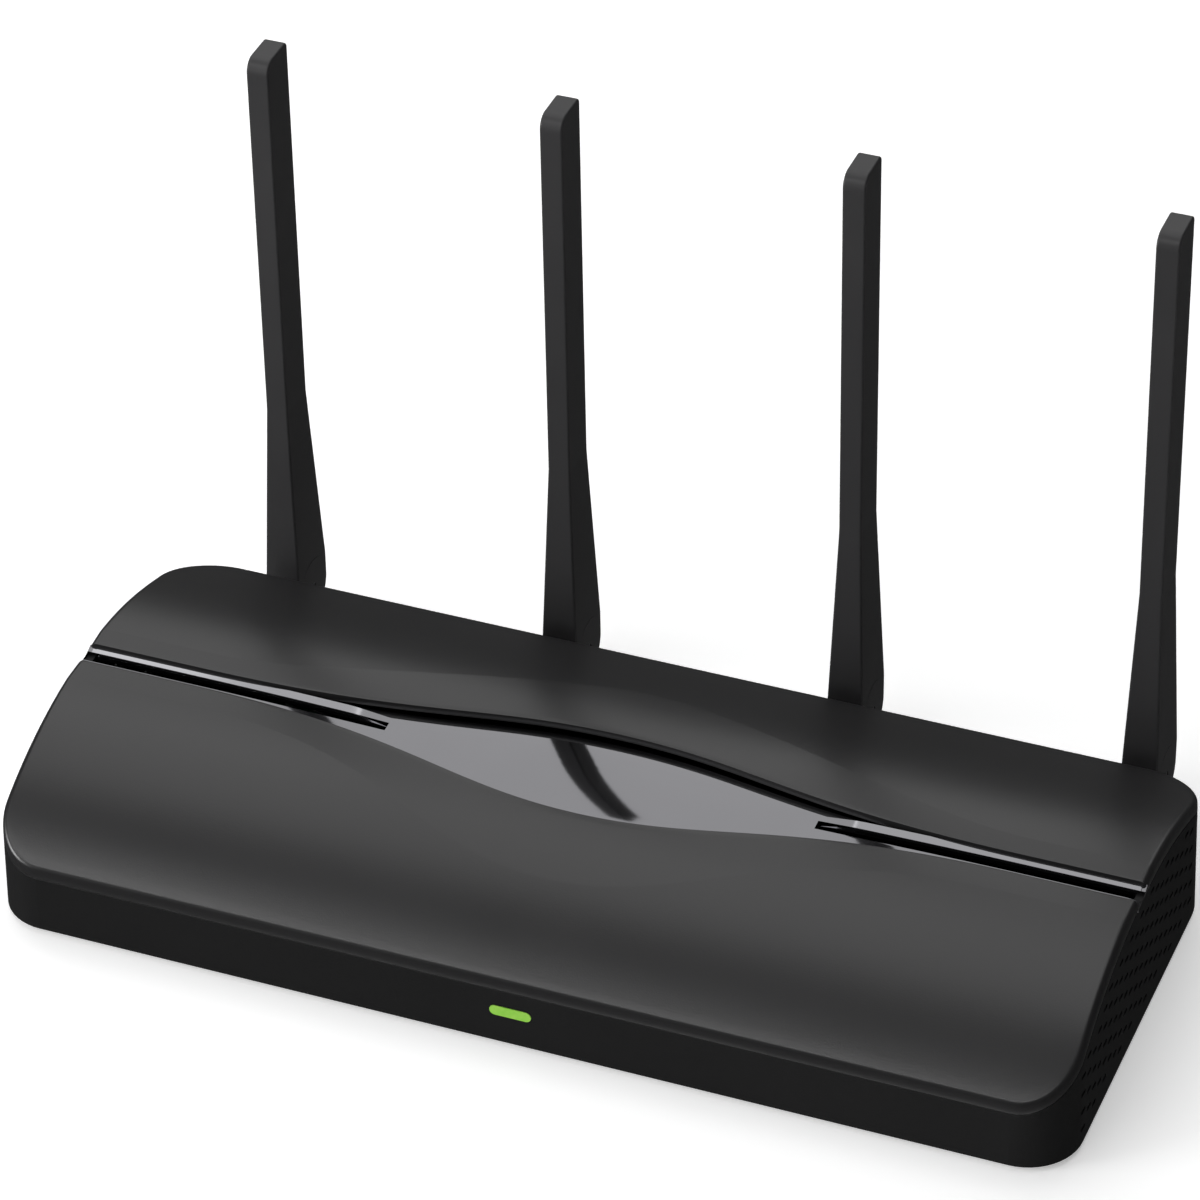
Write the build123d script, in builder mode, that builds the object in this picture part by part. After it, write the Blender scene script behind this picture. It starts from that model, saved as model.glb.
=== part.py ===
import os
from math import cos, pi, radians, sin, tan

from build123d import *

os.makedirs("parts", exist_ok=True)

# Millimetres. +X is to the right as the front is seen, +Y goes to the rear, +Z is up.
# The origin is on the desk, under the middle of the whole router, aerials included.

# Case
case_width = 260.0
case_depth = 112.0
front_corner_radius = 13.0
rear_corner_radius = 16.0
wall = 2.0
floor_thickness = 2.0
draft = 1.2
foot_stand = 1.5

# Dome: a side profile that is the same all along X, in two curves that meet at the crown
front_edge_height = 17.2
crown_height = 38.5
crown_back = 61.1
rear_edge_height = 27.2
front_slope = 40.0
rear_slope = 16.1
nose_reach = 26.3
crown_front_reach = 20.5
crown_rear_reach = 19.6
tail_reach = 21.1

# Covers
cover_lip = 2.8
parting_gap = 0.3
cover_skin = 1.9
skirt_wall = 1.2
rim_radius = 1.6
tongue_clearance = 0.1
flange_wall = 1.5

# Seams beside the trim, measured back from the front face: in the middle and at the sides
front_seam_middle = 40.5
front_seam_side = 52.3
rear_seam_middle = 69.2
rear_seam_side = 58.7
seam_spread = 100.0
seam_middle_reach = 33.0
seam_side_reach = 55.0

# Trim
trim_drop = 2.5
trim_thickness = 1.6
trim_edge_thickness = 0.5
trim_overlap = 1.8
trim_clearance = 0.2
trim_slot_width = 2.4
trim_slot_back = 55.8
trim_slot_inner = 52.5

# Side vents: slanting rows of short slots
vent_length = 2.8
vent_height = 1.1
vent_pitch = 3.83
vent_rise = 5.0
vent_row_step = 2.03
vent_first_back = 13.0
vent_end_margin = 15.0
vent_rim = 5.5
vent_floor = 4.0
vent_roof_front_bulge = 2.2
vent_roof_rear_bulge = 1.7

# Underside
floor_slot_length = 26.0
floor_slot_width = 2.0
floor_slot_pitch = 5.0
floor_slots_in_bank = 9
floor_bank_pitch = 56.0
floor_bank_back = 34.0
foot_diameter = 11.0
foot_recess = 0.5
foot_side_gap = 30.0
front_foot_back = 17.0
rear_foot_gap = 17.0
keyhole_spacing = 120.0
keyhole_rear_gap = 46.0
keyhole_diameter = 8.0
keyhole_neck_width = 4.0
keyhole_neck_length = 6.0
label_width = 70.0
label_depth = 24.0
label_rear_gap = 28.0
label_thickness = 0.2
label_recess = 0.3

# Case screws, in bosses that meet half-way up
boss_side_gap = 13.0
front_boss_back = 30.0
rear_boss_gap = 28.0
boss_diameter = 8.0
boss_meeting_height = 20.0
case_screw_diameter = 3.0
case_screw_length = 12.0
case_screw_head_diameter = 5.6
case_screw_head_height = 2.0
screw_cross_length = 3.2
screw_cross_width = 0.8
screw_clearance = 0.2
screw_seat_height = 12.0

# Status light
light_width = 10.0
light_height = 2.6
light_centre_height = 8.7
light_clearance = 0.1
light_flange = 1.5
light_flange_thickness = 1.0
light_flange_gap = 0.2
light_stalk_width = 5.0
light_stalk_height = 1.6
light_face_inset = 0.1
lamp_width = 3.2
lamp_depth = 1.6
lamp_height = 1.2
lamp_gap = 1.2

# Main board
board_side_gap = 32.0
board_front_back = 17.0
board_rear_gap = 3.5
board_thickness = 1.6
board_standoff = 4.0
board_notch_width = 17.0
board_notch_depth = 7.5
board_screw_inset = 6.0
board_front_screw_back = 24.0
board_rear_screw_gap = 22.0
board_screw_diameter = 2.5
board_screw_head_diameter = 4.8
board_screw_head_height = 1.6
board_screw_grip = 3.0
board_screw_cross_length = 2.8
board_screw_cross_width = 0.7
standoff_diameter = 6.0

# Chips and what cools them
soc_back = 52.0
soc_size = 14.0
chip_height = 1.0
pad_thickness = 1.0
heat_sink_size = 36.0
heat_sink_base = 2.0
fin_height = 7.0
fin_thickness = 1.2
fin_count = 8
memory_offset = 27.0
memory_width = 10.0
memory_depth = 13.0
flash_back = 36.0
flash_width = 6.0
flash_depth = 8.0
crystal_back = 28.0
crystal_width = 5.0
crystal_depth = 3.2
can_length = 34.0
can_depth = 26.0
can_height = 3.0
can_wall = 0.3
can_offset = 54.0
can_back = 44.0
radio_chip_size = 9.0
capacitor_offset = 4.0
capacitor_back = 56.0
capacitor_diameter = 6.3
capacitor_height = 7.7
capacitor_pitch = 8.0
capacitor_rounding = 0.5
inductor_offset = 12.0
inductor_rear_gap = 22.0
inductor_size = 7.0
inductor_height = 4.0
inductor_rounding = 1.5
transformer_rear_gap = 26.0
lan_transformer_width = 30.0
wan_transformer_width = 14.0
transformer_depth = 9.0
transformer_height = 5.0

# Network jacks
jack_width = 15.9
jack_height = 13.0
jack_length = 16.0
jack_pitch = 17.6
lan_jack_count = 3
wan_jack_side_gap = 72.0
shield_sheet = 0.3
plug_width = 11.9
plug_height = 7.4
plug_depth = 13.0
plug_floor = 3.9
latch_width = 6.2
latch_height = 2.0
shield_mouth_gap = 0.2
contact_count = 8
contact_pitch = 1.02
contact_width = 0.4
contact_length = 7.0
contact_slope = 12.0
cutout_clearance = 0.3

# Power socket
socket_side_gap = 42.0
socket_width = 9.4
socket_height = 11.0
socket_length = 14.0
socket_bore = 6.0
socket_bore_depth = 10.0
socket_pin_diameter = 2.0
socket_pin_sunk = 0.5
socket_pin_rounding = 0.5
socket_centre_height = 6.2

# Buttons
button_centre_height = 13.2
button_gap = 0.3
button_flange = 1.2
button_stem_wall = 0.5
power_button_side_gap = 68.0
power_button_diameter = 7.6
power_button_proud = 2.0
power_button_travel = 1.5
power_button_rounding = 0.6
wps_button_side_gap = 44.0
wps_button_diameter = 5.0
wps_button_proud = 1.0
wps_button_travel = 0.6
wps_button_rounding = 0.4
switch_size = 7.6
switch_height = 9.4
switch_rear_gap = 13.0
plunger_diameter = 3.0
plunger_sunk = 3.5
plunger_reach = 3.0

# Aerials
aerial_count = 4
aerial_side_gap = 21.25
aerial_axis_gap = 17.75
aerial_top_height = 163.0
blade_width = 5.5
blade_depth = 11.3
blade_start_height = 66.0
root_width = 8.9
root_depth = 16.2
root_end_height = 17.0
blade_corner = 0.5
tip_front_radius = 3.5
tip_rear_radius = 1.2
blade_wall = 1.2
pivot_height = 11.0
fork_side_clearance = 0.15
tongue_thickness = 3.6
tongue_radius = 5.0
fork_clearance = 0.35
pin_diameter = 3.0
pin_clearance = 0.05
pin_sunk = 0.3
hub_stem_diameter = 9.0
hub_stem_clearance = 0.08
hub_collar_diameter = 14.0
hub_collar_length = 3.0
hub_neck_diameter = 10.0
hub_neck_end_gap = 9.2
hub_wall_gap = 0.3
hub_bore_diameter = 3.0
hub_exit_diameter = 2.4
clip_thickness = 1.2
clip_diameter = 13.0
clip_groove_diameter = 7.8
clip_mouth = 6.0
stem_end_length = 1.5
radiator_width = 7.0
radiator_length = 96.0
radiator_thickness = 0.8
radiator_start_height = 40.0
hollow_root_gap = 5.0
hollow_tip_gap = 4.0
cable_diameter = 1.2
connector_side_gap = 68.0
connector_pitch = 30.0
connector_back = 72.0
connector_size = 3.0
connector_height = 2.4
cable_straight_start = 5.0
cable_straight_end = 12.0
cable_in_stem = 2.0
cable_bend_radius = 4.0

# Construction allowances
headroom = 4.0
margin = 1.0
upright_share = 0.9

# Worked out from the values above
half_width = case_width / 2
aerial_axis_back = case_depth + aerial_axis_gap
total_depth = aerial_axis_back + root_depth / 2
hub_neck_end_back = case_depth + hub_neck_end_gap
aerial_pitch = (case_width - 2 * aerial_side_gap) / (aerial_count - 1)
boss_spacing = case_width - 2 * boss_side_gap
rear_boss_back = case_depth - rear_boss_gap
foot_spacing = case_width - 2 * foot_side_gap
rear_foot_back = case_depth - rear_foot_gap
keyhole_back = case_depth - keyhole_rear_gap
label_back = case_depth - label_rear_gap
board_width = case_width - 2 * board_side_gap
board_rear_back = case_depth - board_rear_gap
board_notch_back = board_rear_back - board_notch_depth
board_screw_spacing = board_width - 2 * board_screw_inset
board_rear_screw_back = case_depth - board_rear_screw_gap
switch_rear_back = case_depth - switch_rear_gap
socket_x = socket_side_gap - half_width
power_button_x = power_button_side_gap - half_width
wps_button_x = half_width - wps_button_side_gap
wan_jack_x = half_width - wan_jack_side_gap
capacitor_x = socket_x + capacitor_offset
inductor_x = socket_x + inductor_offset
connector_x = half_width - connector_side_gap
inductor_back = case_depth - inductor_rear_gap
transformer_back = case_depth - transformer_rear_gap
tall = crown_height + headroom
pivot_y = aerial_axis_back - total_depth / 2
pivot_z = foot_stand + pivot_height
board_under = floor_thickness + board_standoff
board_top = board_under + board_thickness
aerial_places = [(n - (aerial_count - 1) / 2) * aerial_pitch for n in range(aerial_count)]
lan_places = [(n - (lan_jack_count - 1) / 2) * jack_pitch for n in range(lan_jack_count)]


def deep(distance):
    # Y of a point this far behind the front face
    return distance - total_depth / 2


def high(height):
    # Z of a point this far above the underside of the case
    return height + foot_stand


def upright(distance):
    # Plane across the case that faces the front: a positive extrusion goes forward
    return Plane(origin=(0, deep(distance), 0), x_dir=(1, 0, 0), z_dir=(0, -1, 0))


def level(height):
    return Plane.XY.offset(high(height))


def case_outline(inset):
    # Plan of the case, drawn in by an inset, as a face on the XY plane
    with BuildSketch() as plan:
        with Locations((0, deep(case_depth / 2))):
            Rectangle(case_width - 2 * inset, case_depth - 2 * inset)
        fillet(plan.vertices().group_by(Axis.Y)[0], radius=front_corner_radius - inset)
        fillet(plan.vertices().group_by(Axis.Y)[-1], radius=rear_corner_radius - inset)
    return plan.sketch


def drafted_block(inset, start):
    # The case's plan grown upward with the walls' draft
    with BuildPart(mode=Mode.PRIVATE) as block:
        with BuildSketch(level(start)) as plan:
            add(case_outline(inset + start * tan(radians(draft))))
        extrude(amount=tall - start, taper=draft)
    return block.part


def under_dome(drop):
    # Everything below the dome once it is lowered by a drop
    nose = Vector(deep(0), high(front_edge_height - drop))
    crown = Vector(deep(crown_back), high(crown_height - drop))
    tail = Vector(deep(case_depth), high(rear_edge_height - drop))
    ahead = Vector(-margin, -margin * tan(radians(front_slope)))
    behind = Vector(margin, -margin * tan(radians(rear_slope)))
    rise = Vector(cos(radians(front_slope)), sin(radians(front_slope))) * nose_reach
    fall = Vector(cos(radians(rear_slope)), -sin(radians(rear_slope))) * tail_reach
    low = -margin
    with BuildPart(mode=Mode.PRIVATE) as body:
        with BuildSketch(Plane.YZ.offset(-half_width - margin)) as section:
            with BuildLine():
                Line(nose + ahead, nose)
                Bezier(nose, nose + rise, crown - Vector(crown_front_reach, 0), crown)
                Bezier(crown, crown + Vector(crown_rear_reach, 0), tail - fall, tail)
                Line(tail, tail + behind)
                Polyline(tail + behind, (tail.X + margin, low), (nose.X - margin, low), nose + ahead)
            make_face()
        extrude(amount=case_width + 2 * margin)
    return body.part


def seam_line(middle, side, shift):
    # A line across the case: straight at the sides, bowed in the middle
    y_side = deep(side + shift)
    y_middle = deep(middle + shift)
    for turn in (-1, 1):
        Line((turn * (half_width + margin), y_side), (turn * seam_spread, y_side))
        Bezier(
            (turn * seam_spread, y_side),
            (turn * (seam_spread - seam_side_reach), y_side),
            (turn * seam_middle_reach, y_middle),
            (0, y_middle),
        )


def between_seams(grow):
    # Prism over the plan area between the two seams, grown forward and back
    side = half_width + margin
    y_front = deep(front_seam_side - grow)
    y_rear = deep(rear_seam_side + grow)
    with BuildPart(mode=Mode.PRIVATE) as body:
        with BuildSketch() as plan:
            with BuildLine():
                seam_line(front_seam_middle, front_seam_side, -grow)
                seam_line(rear_seam_middle, rear_seam_side, grow)
                Line((-side, y_front), (-side, y_rear))
                Line((side, y_front), (side, y_rear))
            make_face()
        extrude(amount=high(tall))
    return body.part


def before_seam(shift):
    # Prism over the plan area in front of the front seam
    side = half_width + margin
    with BuildPart(mode=Mode.PRIVATE) as body:
        with BuildSketch() as plan:
            with BuildLine():
                seam_line(front_seam_middle, front_seam_side, shift)
                Polyline(
                    (-side, deep(front_seam_side + shift)),
                    (-side, deep(-margin)),
                    (side, deep(-margin)),
                    (side, deep(front_seam_side + shift)),
                )
            make_face()
        extrude(amount=high(tall))
    return body.part


def behind_seam(shift):
    # Prism over the plan area behind the rear seam
    side = half_width + margin
    with BuildPart(mode=Mode.PRIVATE) as body:
        with BuildSketch() as plan:
            with BuildLine():
                seam_line(rear_seam_middle, rear_seam_side, shift)
                Polyline(
                    (-side, deep(rear_seam_side + shift)),
                    (-side, deep(case_depth + margin)),
                    (side, deep(case_depth + margin)),
                    (side, deep(rear_seam_side + shift)),
                )
            make_face()
        extrude(amount=high(tall))
    return body.part


def rounded_route(points, radius):
    # Straight runs joined by tangent arcs, drawn in the line being built
    last = Vector(*points[0])
    for before, corner, after in zip(points, points[1:], points[2:]):
        corner = Vector(*corner)
        back = (Vector(*before) - corner).normalized()
        on = (Vector(*after) - corner).normalized()
        turn = pi - radians(back.get_angle(on))
        cut = radius * tan(turn / 2)
        middle = (back + on).normalized() * (radius / cos(turn / 2) - radius)
        Line(last, corner + back * cut)
        ThreePointArc(corner + back * cut, corner + middle, corner + on * cut)
        last = corner + on * cut
    Line(last, Vector(*points[-1]))


# The whole outside of the case, with its rounded rim, from which both covers are cut
with BuildPart() as dome_block:
    add(drafted_block(0, 0))
    add(under_dome(0), mode=Mode.INTERSECT)
    dome_face = dome_block.faces().sort_by(Axis.Z)[-1]
    fillet(dome_face.edges(), radius=rim_radius)

trim_space = between_seams(trim_overlap + trim_clearance)
cover_hollow = drafted_block(skirt_wall, 0) & under_dome(cover_skin)
boss_spots = [
    (turn * boss_spacing / 2, deep(back))
    for back in (front_boss_back, rear_boss_back)
    for turn in (-1, 1)
]


def cover_bosses(spots):
    # Posts that hang from a cover and meet the bosses of the base
    with BuildPart(mode=Mode.PRIVATE) as posts:
        with BuildSketch(level(boss_meeting_height)):
            with Locations(*spots):
                Circle(boss_diameter / 2)
                Circle(case_screw_diameter / 2, mode=Mode.SUBTRACT)
        extrude(amount=tall - boss_meeting_height)
    return posts.part & under_dome(cover_skin)


with BuildPart() as top_front_cover:
    add(dome_block.part & before_seam(0))
    add(under_dome(cover_lip), mode=Mode.SUBTRACT)
    add(cover_hollow & before_seam(-flange_wall), mode=Mode.SUBTRACT)
    add(trim_space & under_dome(trim_drop), mode=Mode.SUBTRACT)
    add(cover_bosses(boss_spots[:2]))
top_front_cover.part.label = "top_front_cover"
export_step(top_front_cover.part, "parts/top_front_cover.step")

with BuildPart() as top_rear_cover:
    add(dome_block.part & behind_seam(0))
    add(under_dome(cover_lip), mode=Mode.SUBTRACT)
    add(cover_hollow & behind_seam(flange_wall), mode=Mode.SUBTRACT)
    add(trim_space & under_dome(trim_drop), mode=Mode.SUBTRACT)
    add(cover_bosses(boss_spots[2:]))
top_rear_cover.part.label = "top_rear_cover"
export_step(top_rear_cover.part, "parts/top_rear_cover.step")

# Glossy plate between the covers: full thickness inside, thin where it lies over the side walls
trim_slot_outer = half_width + margin
with BuildPart() as centre_trim:
    add(drafted_block(0, 0) & between_seams(trim_overlap))
    add(under_dome(trim_drop), mode=Mode.INTERSECT)
    add(under_dome(trim_drop + trim_thickness), mode=Mode.SUBTRACT)
    edge_space = drafted_block(0, 0) - drafted_block(wall + trim_clearance, 0)
    add(edge_space & under_dome(trim_drop + trim_edge_thickness), mode=Mode.SUBTRACT)
    with BuildSketch(Plane.XY.offset(high(0))) as slots:
        for turn in (-1, 1):
            with Locations((turn * (trim_slot_inner + trim_slot_outer) / 2, deep(trim_slot_back))):
                Rectangle(trim_slot_outer - trim_slot_inner, trim_slot_width)
    extrude(amount=tall, mode=Mode.SUBTRACT)
centre_trim.part.label = "centre_trim"
export_step(centre_trim.part, "parts/centre_trim.step")


def jack_centre_height():
    return board_top + jack_height / 2


# Lower half of the case: floor, walls with their openings, bosses and standoffs
with BuildPart() as base_case:
    add(drafted_block(0, 0) & under_dome(cover_lip + parting_gap))
    add(drafted_block(wall, floor_thickness), mode=Mode.SUBTRACT)
    # tongue that backs the seam to the covers, left out where the trim crosses
    tongue = drafted_block(skirt_wall + tongue_clearance, floor_thickness)
    tongue -= drafted_block(wall, floor_thickness)
    tongue &= under_dome(cover_skin + parting_gap)
    tongue -= under_dome(cover_lip + parting_gap)
    add(tongue - trim_space)
    # bosses for the case screws, standoffs for the board
    with BuildSketch(level(floor_thickness)):
        with Locations(*boss_spots):
            Circle(boss_diameter / 2)
    extrude(amount=boss_meeting_height - floor_thickness)
    with BuildSketch(level(floor_thickness)):
        for back in (board_front_screw_back, board_rear_screw_back):
            with Locations((-board_screw_spacing / 2, deep(back)), (board_screw_spacing / 2, deep(back))):
                Circle(standoff_diameter / 2)
    extrude(amount=board_standoff)
    with BuildSketch(level(board_under)):
        for back in (board_front_screw_back, board_rear_screw_back):
            with Locations((-board_screw_spacing / 2, deep(back)), (board_screw_spacing / 2, deep(back))):
                Circle(board_screw_diameter / 2)
    extrude(amount=-board_screw_grip, mode=Mode.SUBTRACT)
    with BuildSketch(level(0)):
        with Locations(*boss_spots):
            Circle(case_screw_head_diameter / 2 + screw_clearance)
    extrude(amount=screw_seat_height, mode=Mode.SUBTRACT)
    with BuildSketch(level(screw_seat_height)):
        with Locations(*boss_spots):
            Circle(case_screw_diameter / 2 + screw_clearance)
    extrude(amount=boss_meeting_height - screw_seat_height, mode=Mode.SUBTRACT)
    # recesses for feet and label, keyholes, floor vents
    with BuildSketch(level(0)):
        for back in (front_foot_back, rear_foot_back):
            with Locations((-foot_spacing / 2, deep(back)), (foot_spacing / 2, deep(back))):
                Circle(foot_diameter / 2)
    extrude(amount=foot_recess, mode=Mode.SUBTRACT)
    with BuildSketch(level(0)):
        with Locations((0, deep(label_back))):
            Rectangle(label_width, label_depth)
    extrude(amount=label_recess, mode=Mode.SUBTRACT)
    with BuildSketch(level(0)):
        keyhole_y = deep(keyhole_back)
        with Locations((-keyhole_spacing / 2, keyhole_y), (keyhole_spacing / 2, keyhole_y)):
            Circle(keyhole_diameter / 2)
        neck_middle = deep(keyhole_back + keyhole_neck_length / 2)
        neck_end = deep(keyhole_back + keyhole_neck_length)
        with Locations((-keyhole_spacing / 2, neck_middle), (keyhole_spacing / 2, neck_middle)):
            Rectangle(keyhole_neck_width, keyhole_neck_length)
        with Locations((-keyhole_spacing / 2, neck_end), (keyhole_spacing / 2, neck_end)):
            Circle(keyhole_neck_width / 2)
    extrude(amount=floor_thickness, mode=Mode.SUBTRACT)
    with BuildSketch(level(0)):
        for bank in (-1, 0, 1):
            with Locations((bank * floor_bank_pitch, deep(floor_bank_back))):
                with GridLocations(floor_slot_pitch, 0, floor_slots_in_bank, 1):
                    SlotOverall(floor_slot_length, floor_slot_width, rotation=90)
    extrude(amount=floor_thickness, mode=Mode.SUBTRACT)
    # side vents: each column of slots is one step lower than the column in front of it
    columns = int((case_depth - vent_first_back - vent_end_margin) / vent_pitch) + 1
    with BuildSketch(Plane.YZ.offset(-half_width - margin)) as vents:
        for column in range(columns):
            back = vent_first_back + column * vent_pitch
            if back < crown_back:
                rise = crown_height - front_edge_height
                share = 1 - (1 - back / crown_back) ** vent_roof_front_bulge
                roof = front_edge_height + rise * share
            else:
                fall = crown_height - rear_edge_height
                share = ((back - crown_back) / (case_depth - crown_back)) ** vent_roof_rear_bulge
                roof = crown_height - fall * share
            start = vent_floor + (-column * vent_row_step) % vent_rise
            rows = int((roof - vent_rim - start) / vent_rise) + 1
            for row in range(rows):
                with Locations((deep(back), high(start + row * vent_rise))):
                    SlotOverall(vent_length, vent_height)
    extrude(amount=case_width + 2 * margin, mode=Mode.SUBTRACT)
    # openings in the rear wall
    with BuildSketch(upright(case_depth + margin)):
        for place in lan_places + [wan_jack_x]:
            with Locations((place, high(jack_centre_height() + shield_sheet / 2))):
                width = jack_width + 2 * shield_sheet + 2 * cutout_clearance
                Rectangle(width, jack_height + shield_sheet + 2 * cutout_clearance)
        with Locations((socket_x, high(board_top + socket_height / 2))):
            Rectangle(socket_width + 2 * cutout_clearance, socket_height + 2 * cutout_clearance)
        with Locations((power_button_x, high(button_centre_height))):
            Circle(power_button_diameter / 2 + button_gap)
        with Locations((wps_button_x, high(button_centre_height))):
            Circle(wps_button_diameter / 2 + button_gap)
        for place in aerial_places:
            with Locations((place, high(pivot_height))):
                Circle(hub_stem_diameter / 2 + hub_stem_clearance)
    extrude(amount=2 * wall + 2 * margin, mode=Mode.SUBTRACT)
    # opening for the status light
    with BuildSketch(upright(-margin)):
        with Locations((0, high(light_centre_height))):
            SlotOverall(light_width + 2 * light_clearance, light_height + 2 * light_clearance)
    extrude(amount=-(wall + 2 * margin), mode=Mode.SUBTRACT)
base_case.part.label = "base_case"
export_step(base_case.part, "parts/base_case.step")

with BuildPart() as rubber_feet:
    with BuildSketch(Plane.XY):
        for back in (front_foot_back, rear_foot_back):
            with Locations((-foot_spacing / 2, deep(back)), (foot_spacing / 2, deep(back))):
                Circle(foot_diameter / 2)
    extrude(amount=foot_stand + foot_recess)
    chamfer(rubber_feet.edges().group_by(Axis.Z)[0], length=foot_recess)
rubber_feet.part.label = "rubber_feet"
export_step(rubber_feet.part, "parts/rubber_feet.step")

with BuildPart() as rating_label:
    with BuildSketch(level(label_recess - label_thickness)):
        with Locations((0, deep(label_back))):
            Rectangle(label_width - label_recess, label_depth - label_recess)
    extrude(amount=label_thickness)
rating_label.part.label = "rating_label"
export_step(rating_label.part, "parts/rating_label.step")

with BuildPart() as case_screws:
    with BuildSketch(level(screw_seat_height)):
        with Locations(*boss_spots):
            Circle(case_screw_diameter / 2)
    extrude(amount=case_screw_length)
    with BuildSketch(level(screw_seat_height)):
        with Locations(*boss_spots):
            Circle(case_screw_head_diameter / 2)
    extrude(amount=-case_screw_head_height)
    with BuildSketch(level(screw_seat_height - case_screw_head_height)):
        with Locations(*boss_spots):
            Rectangle(screw_cross_length, screw_cross_width)
            Rectangle(screw_cross_width, screw_cross_length)
    extrude(amount=case_screw_head_height / 2, mode=Mode.SUBTRACT)
case_screws.part.label = "case_screws"
export_step(case_screws.part, "parts/case_screws.step")

# Light guide: a pill-shaped window with a flange behind the wall and a stalk to the lamp
lamp_back = board_front_back + lamp_gap
light_flange_back = wall + light_clearance + light_flange_gap
light_stalk_back = light_flange_back + light_flange_thickness - light_clearance
with BuildPart() as light_guide:
    with BuildSketch(upright(light_face_inset)):
        with Locations((0, high(light_centre_height))):
            SlotOverall(light_width, light_height)
    extrude(amount=-(light_flange_back + light_flange_thickness / 2))
    with BuildSketch(upright(light_flange_back)):
        with Locations((0, high(light_centre_height))):
            Rectangle(light_width + 2 * light_flange, light_height + 2 * light_flange)
    extrude(amount=-light_flange_thickness)
    with BuildSketch(upright(light_stalk_back)):
        with Locations((0, high(light_centre_height))):
            Rectangle(light_stalk_width, light_stalk_height)
    extrude(amount=-(lamp_back - light_flange_gap - light_stalk_back))
light_guide.part.label = "light_guide"
export_step(light_guide.part, "parts/light_guide.step")

with BuildPart() as status_lamp:
    with BuildSketch(level(board_top)):
        with Locations((0, deep(lamp_back + lamp_depth / 2))):
            Rectangle(lamp_width, lamp_depth)
    extrude(amount=lamp_height)
status_lamp.part.label = "status_lamp"
export_step(status_lamp.part, "parts/status_lamp.step")

# Main board, notched around the inner hubs
board_middle = (board_front_back + board_rear_back) / 2
board_screw_spots = [
    (turn * board_screw_spacing / 2, deep(back))
    for back in (board_front_screw_back, board_rear_screw_back)
    for turn in (-1, 1)
]
with BuildPart() as main_board:
    with BuildSketch(level(board_under)):
        with Locations((0, deep(board_middle))):
            Rectangle(board_width, board_rear_back - board_front_back)
        for place in aerial_places[1:-1]:
            with Locations((place, deep(board_rear_back))):
                Rectangle(board_notch_width, 2 * (board_rear_back - board_notch_back), mode=Mode.SUBTRACT)
        with Locations(*board_screw_spots):
            Circle(board_screw_diameter / 2 + screw_clearance, mode=Mode.SUBTRACT)
    extrude(amount=board_thickness)
main_board.part.label = "main_board"
export_step(main_board.part, "parts/main_board.step")

with BuildPart() as board_screws:
    with BuildSketch(level(board_top)):
        with Locations(*board_screw_spots):
            Circle(board_screw_head_diameter / 2)
    extrude(amount=board_screw_head_height)
    with BuildSketch(level(board_top)):
        with Locations(*board_screw_spots):
            Circle(board_screw_diameter / 2)
    extrude(amount=-(board_thickness + board_screw_grip))
    with BuildSketch(level(board_top + board_screw_head_height)):
        with Locations(*board_screw_spots):
            Rectangle(board_screw_cross_length, board_screw_cross_width)
            Rectangle(board_screw_cross_width, board_screw_cross_length)
    extrude(amount=-board_screw_head_height / 2, mode=Mode.SUBTRACT)
board_screws.part.label = "board_screws"
export_step(board_screws.part, "parts/board_screws.step")


def block_on_board(x, back, width, depth, height, lift=0.0):
    # A plain chip or block soldered to the board, in the part being built
    with BuildSketch(level(board_top + lift)) as face:
        with Locations((x, deep(back))):
            Rectangle(width, depth)
    extrude(face.sketch, amount=height)


with BuildPart() as processor:
    block_on_board(0, soc_back, soc_size, soc_size, chip_height)
processor.part.label = "processor"
export_step(processor.part, "parts/processor.step")

with BuildPart() as thermal_pad:
    block_on_board(0, soc_back, soc_size, soc_size, pad_thickness, chip_height)
thermal_pad.part.label = "thermal_pad"
export_step(thermal_pad.part, "parts/thermal_pad.step")

fin_pitch = (heat_sink_size - fin_thickness) / (fin_count - 1)
sink_lift = chip_height + pad_thickness
with BuildPart() as heat_sink:
    block_on_board(0, soc_back, heat_sink_size, heat_sink_size, heat_sink_base, sink_lift)
    with BuildSketch(level(board_top + sink_lift + heat_sink_base)):
        with Locations((0, deep(soc_back))):
            with GridLocations(fin_pitch, 0, fin_count, 1):
                Rectangle(fin_thickness, heat_sink_size)
    extrude(amount=fin_height)
heat_sink.part.label = "heat_sink"
export_step(heat_sink.part, "parts/heat_sink.step")

with BuildPart() as memory_chip:
    block_on_board(memory_offset, soc_back, memory_width, memory_depth, chip_height)
memory_chip.part.label = "memory_chip"
export_step(memory_chip.part, "parts/memory_chip.step")

with BuildPart() as flash_chip:
    block_on_board(memory_offset, flash_back, flash_width, flash_depth, chip_height)
flash_chip.part.label = "flash_chip"
export_step(flash_chip.part, "parts/flash_chip.step")

with BuildPart() as clock_crystal:
    block_on_board(0, crystal_back, crystal_width, crystal_depth, chip_height)
clock_crystal.part.label = "clock_crystal"
export_step(clock_crystal.part, "parts/clock_crystal.step")

with BuildPart() as low_band_radio_chip:
    block_on_board(-can_offset, can_back, radio_chip_size, radio_chip_size, chip_height)
low_band_radio_chip.part.label = "low_band_radio_chip"
export_step(low_band_radio_chip.part, "parts/low_band_radio_chip.step")

with BuildPart() as high_band_radio_chip:
    block_on_board(can_offset, can_back, radio_chip_size, radio_chip_size, chip_height)
high_band_radio_chip.part.label = "high_band_radio_chip"
export_step(high_band_radio_chip.part, "parts/high_band_radio_chip.step")


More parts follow.
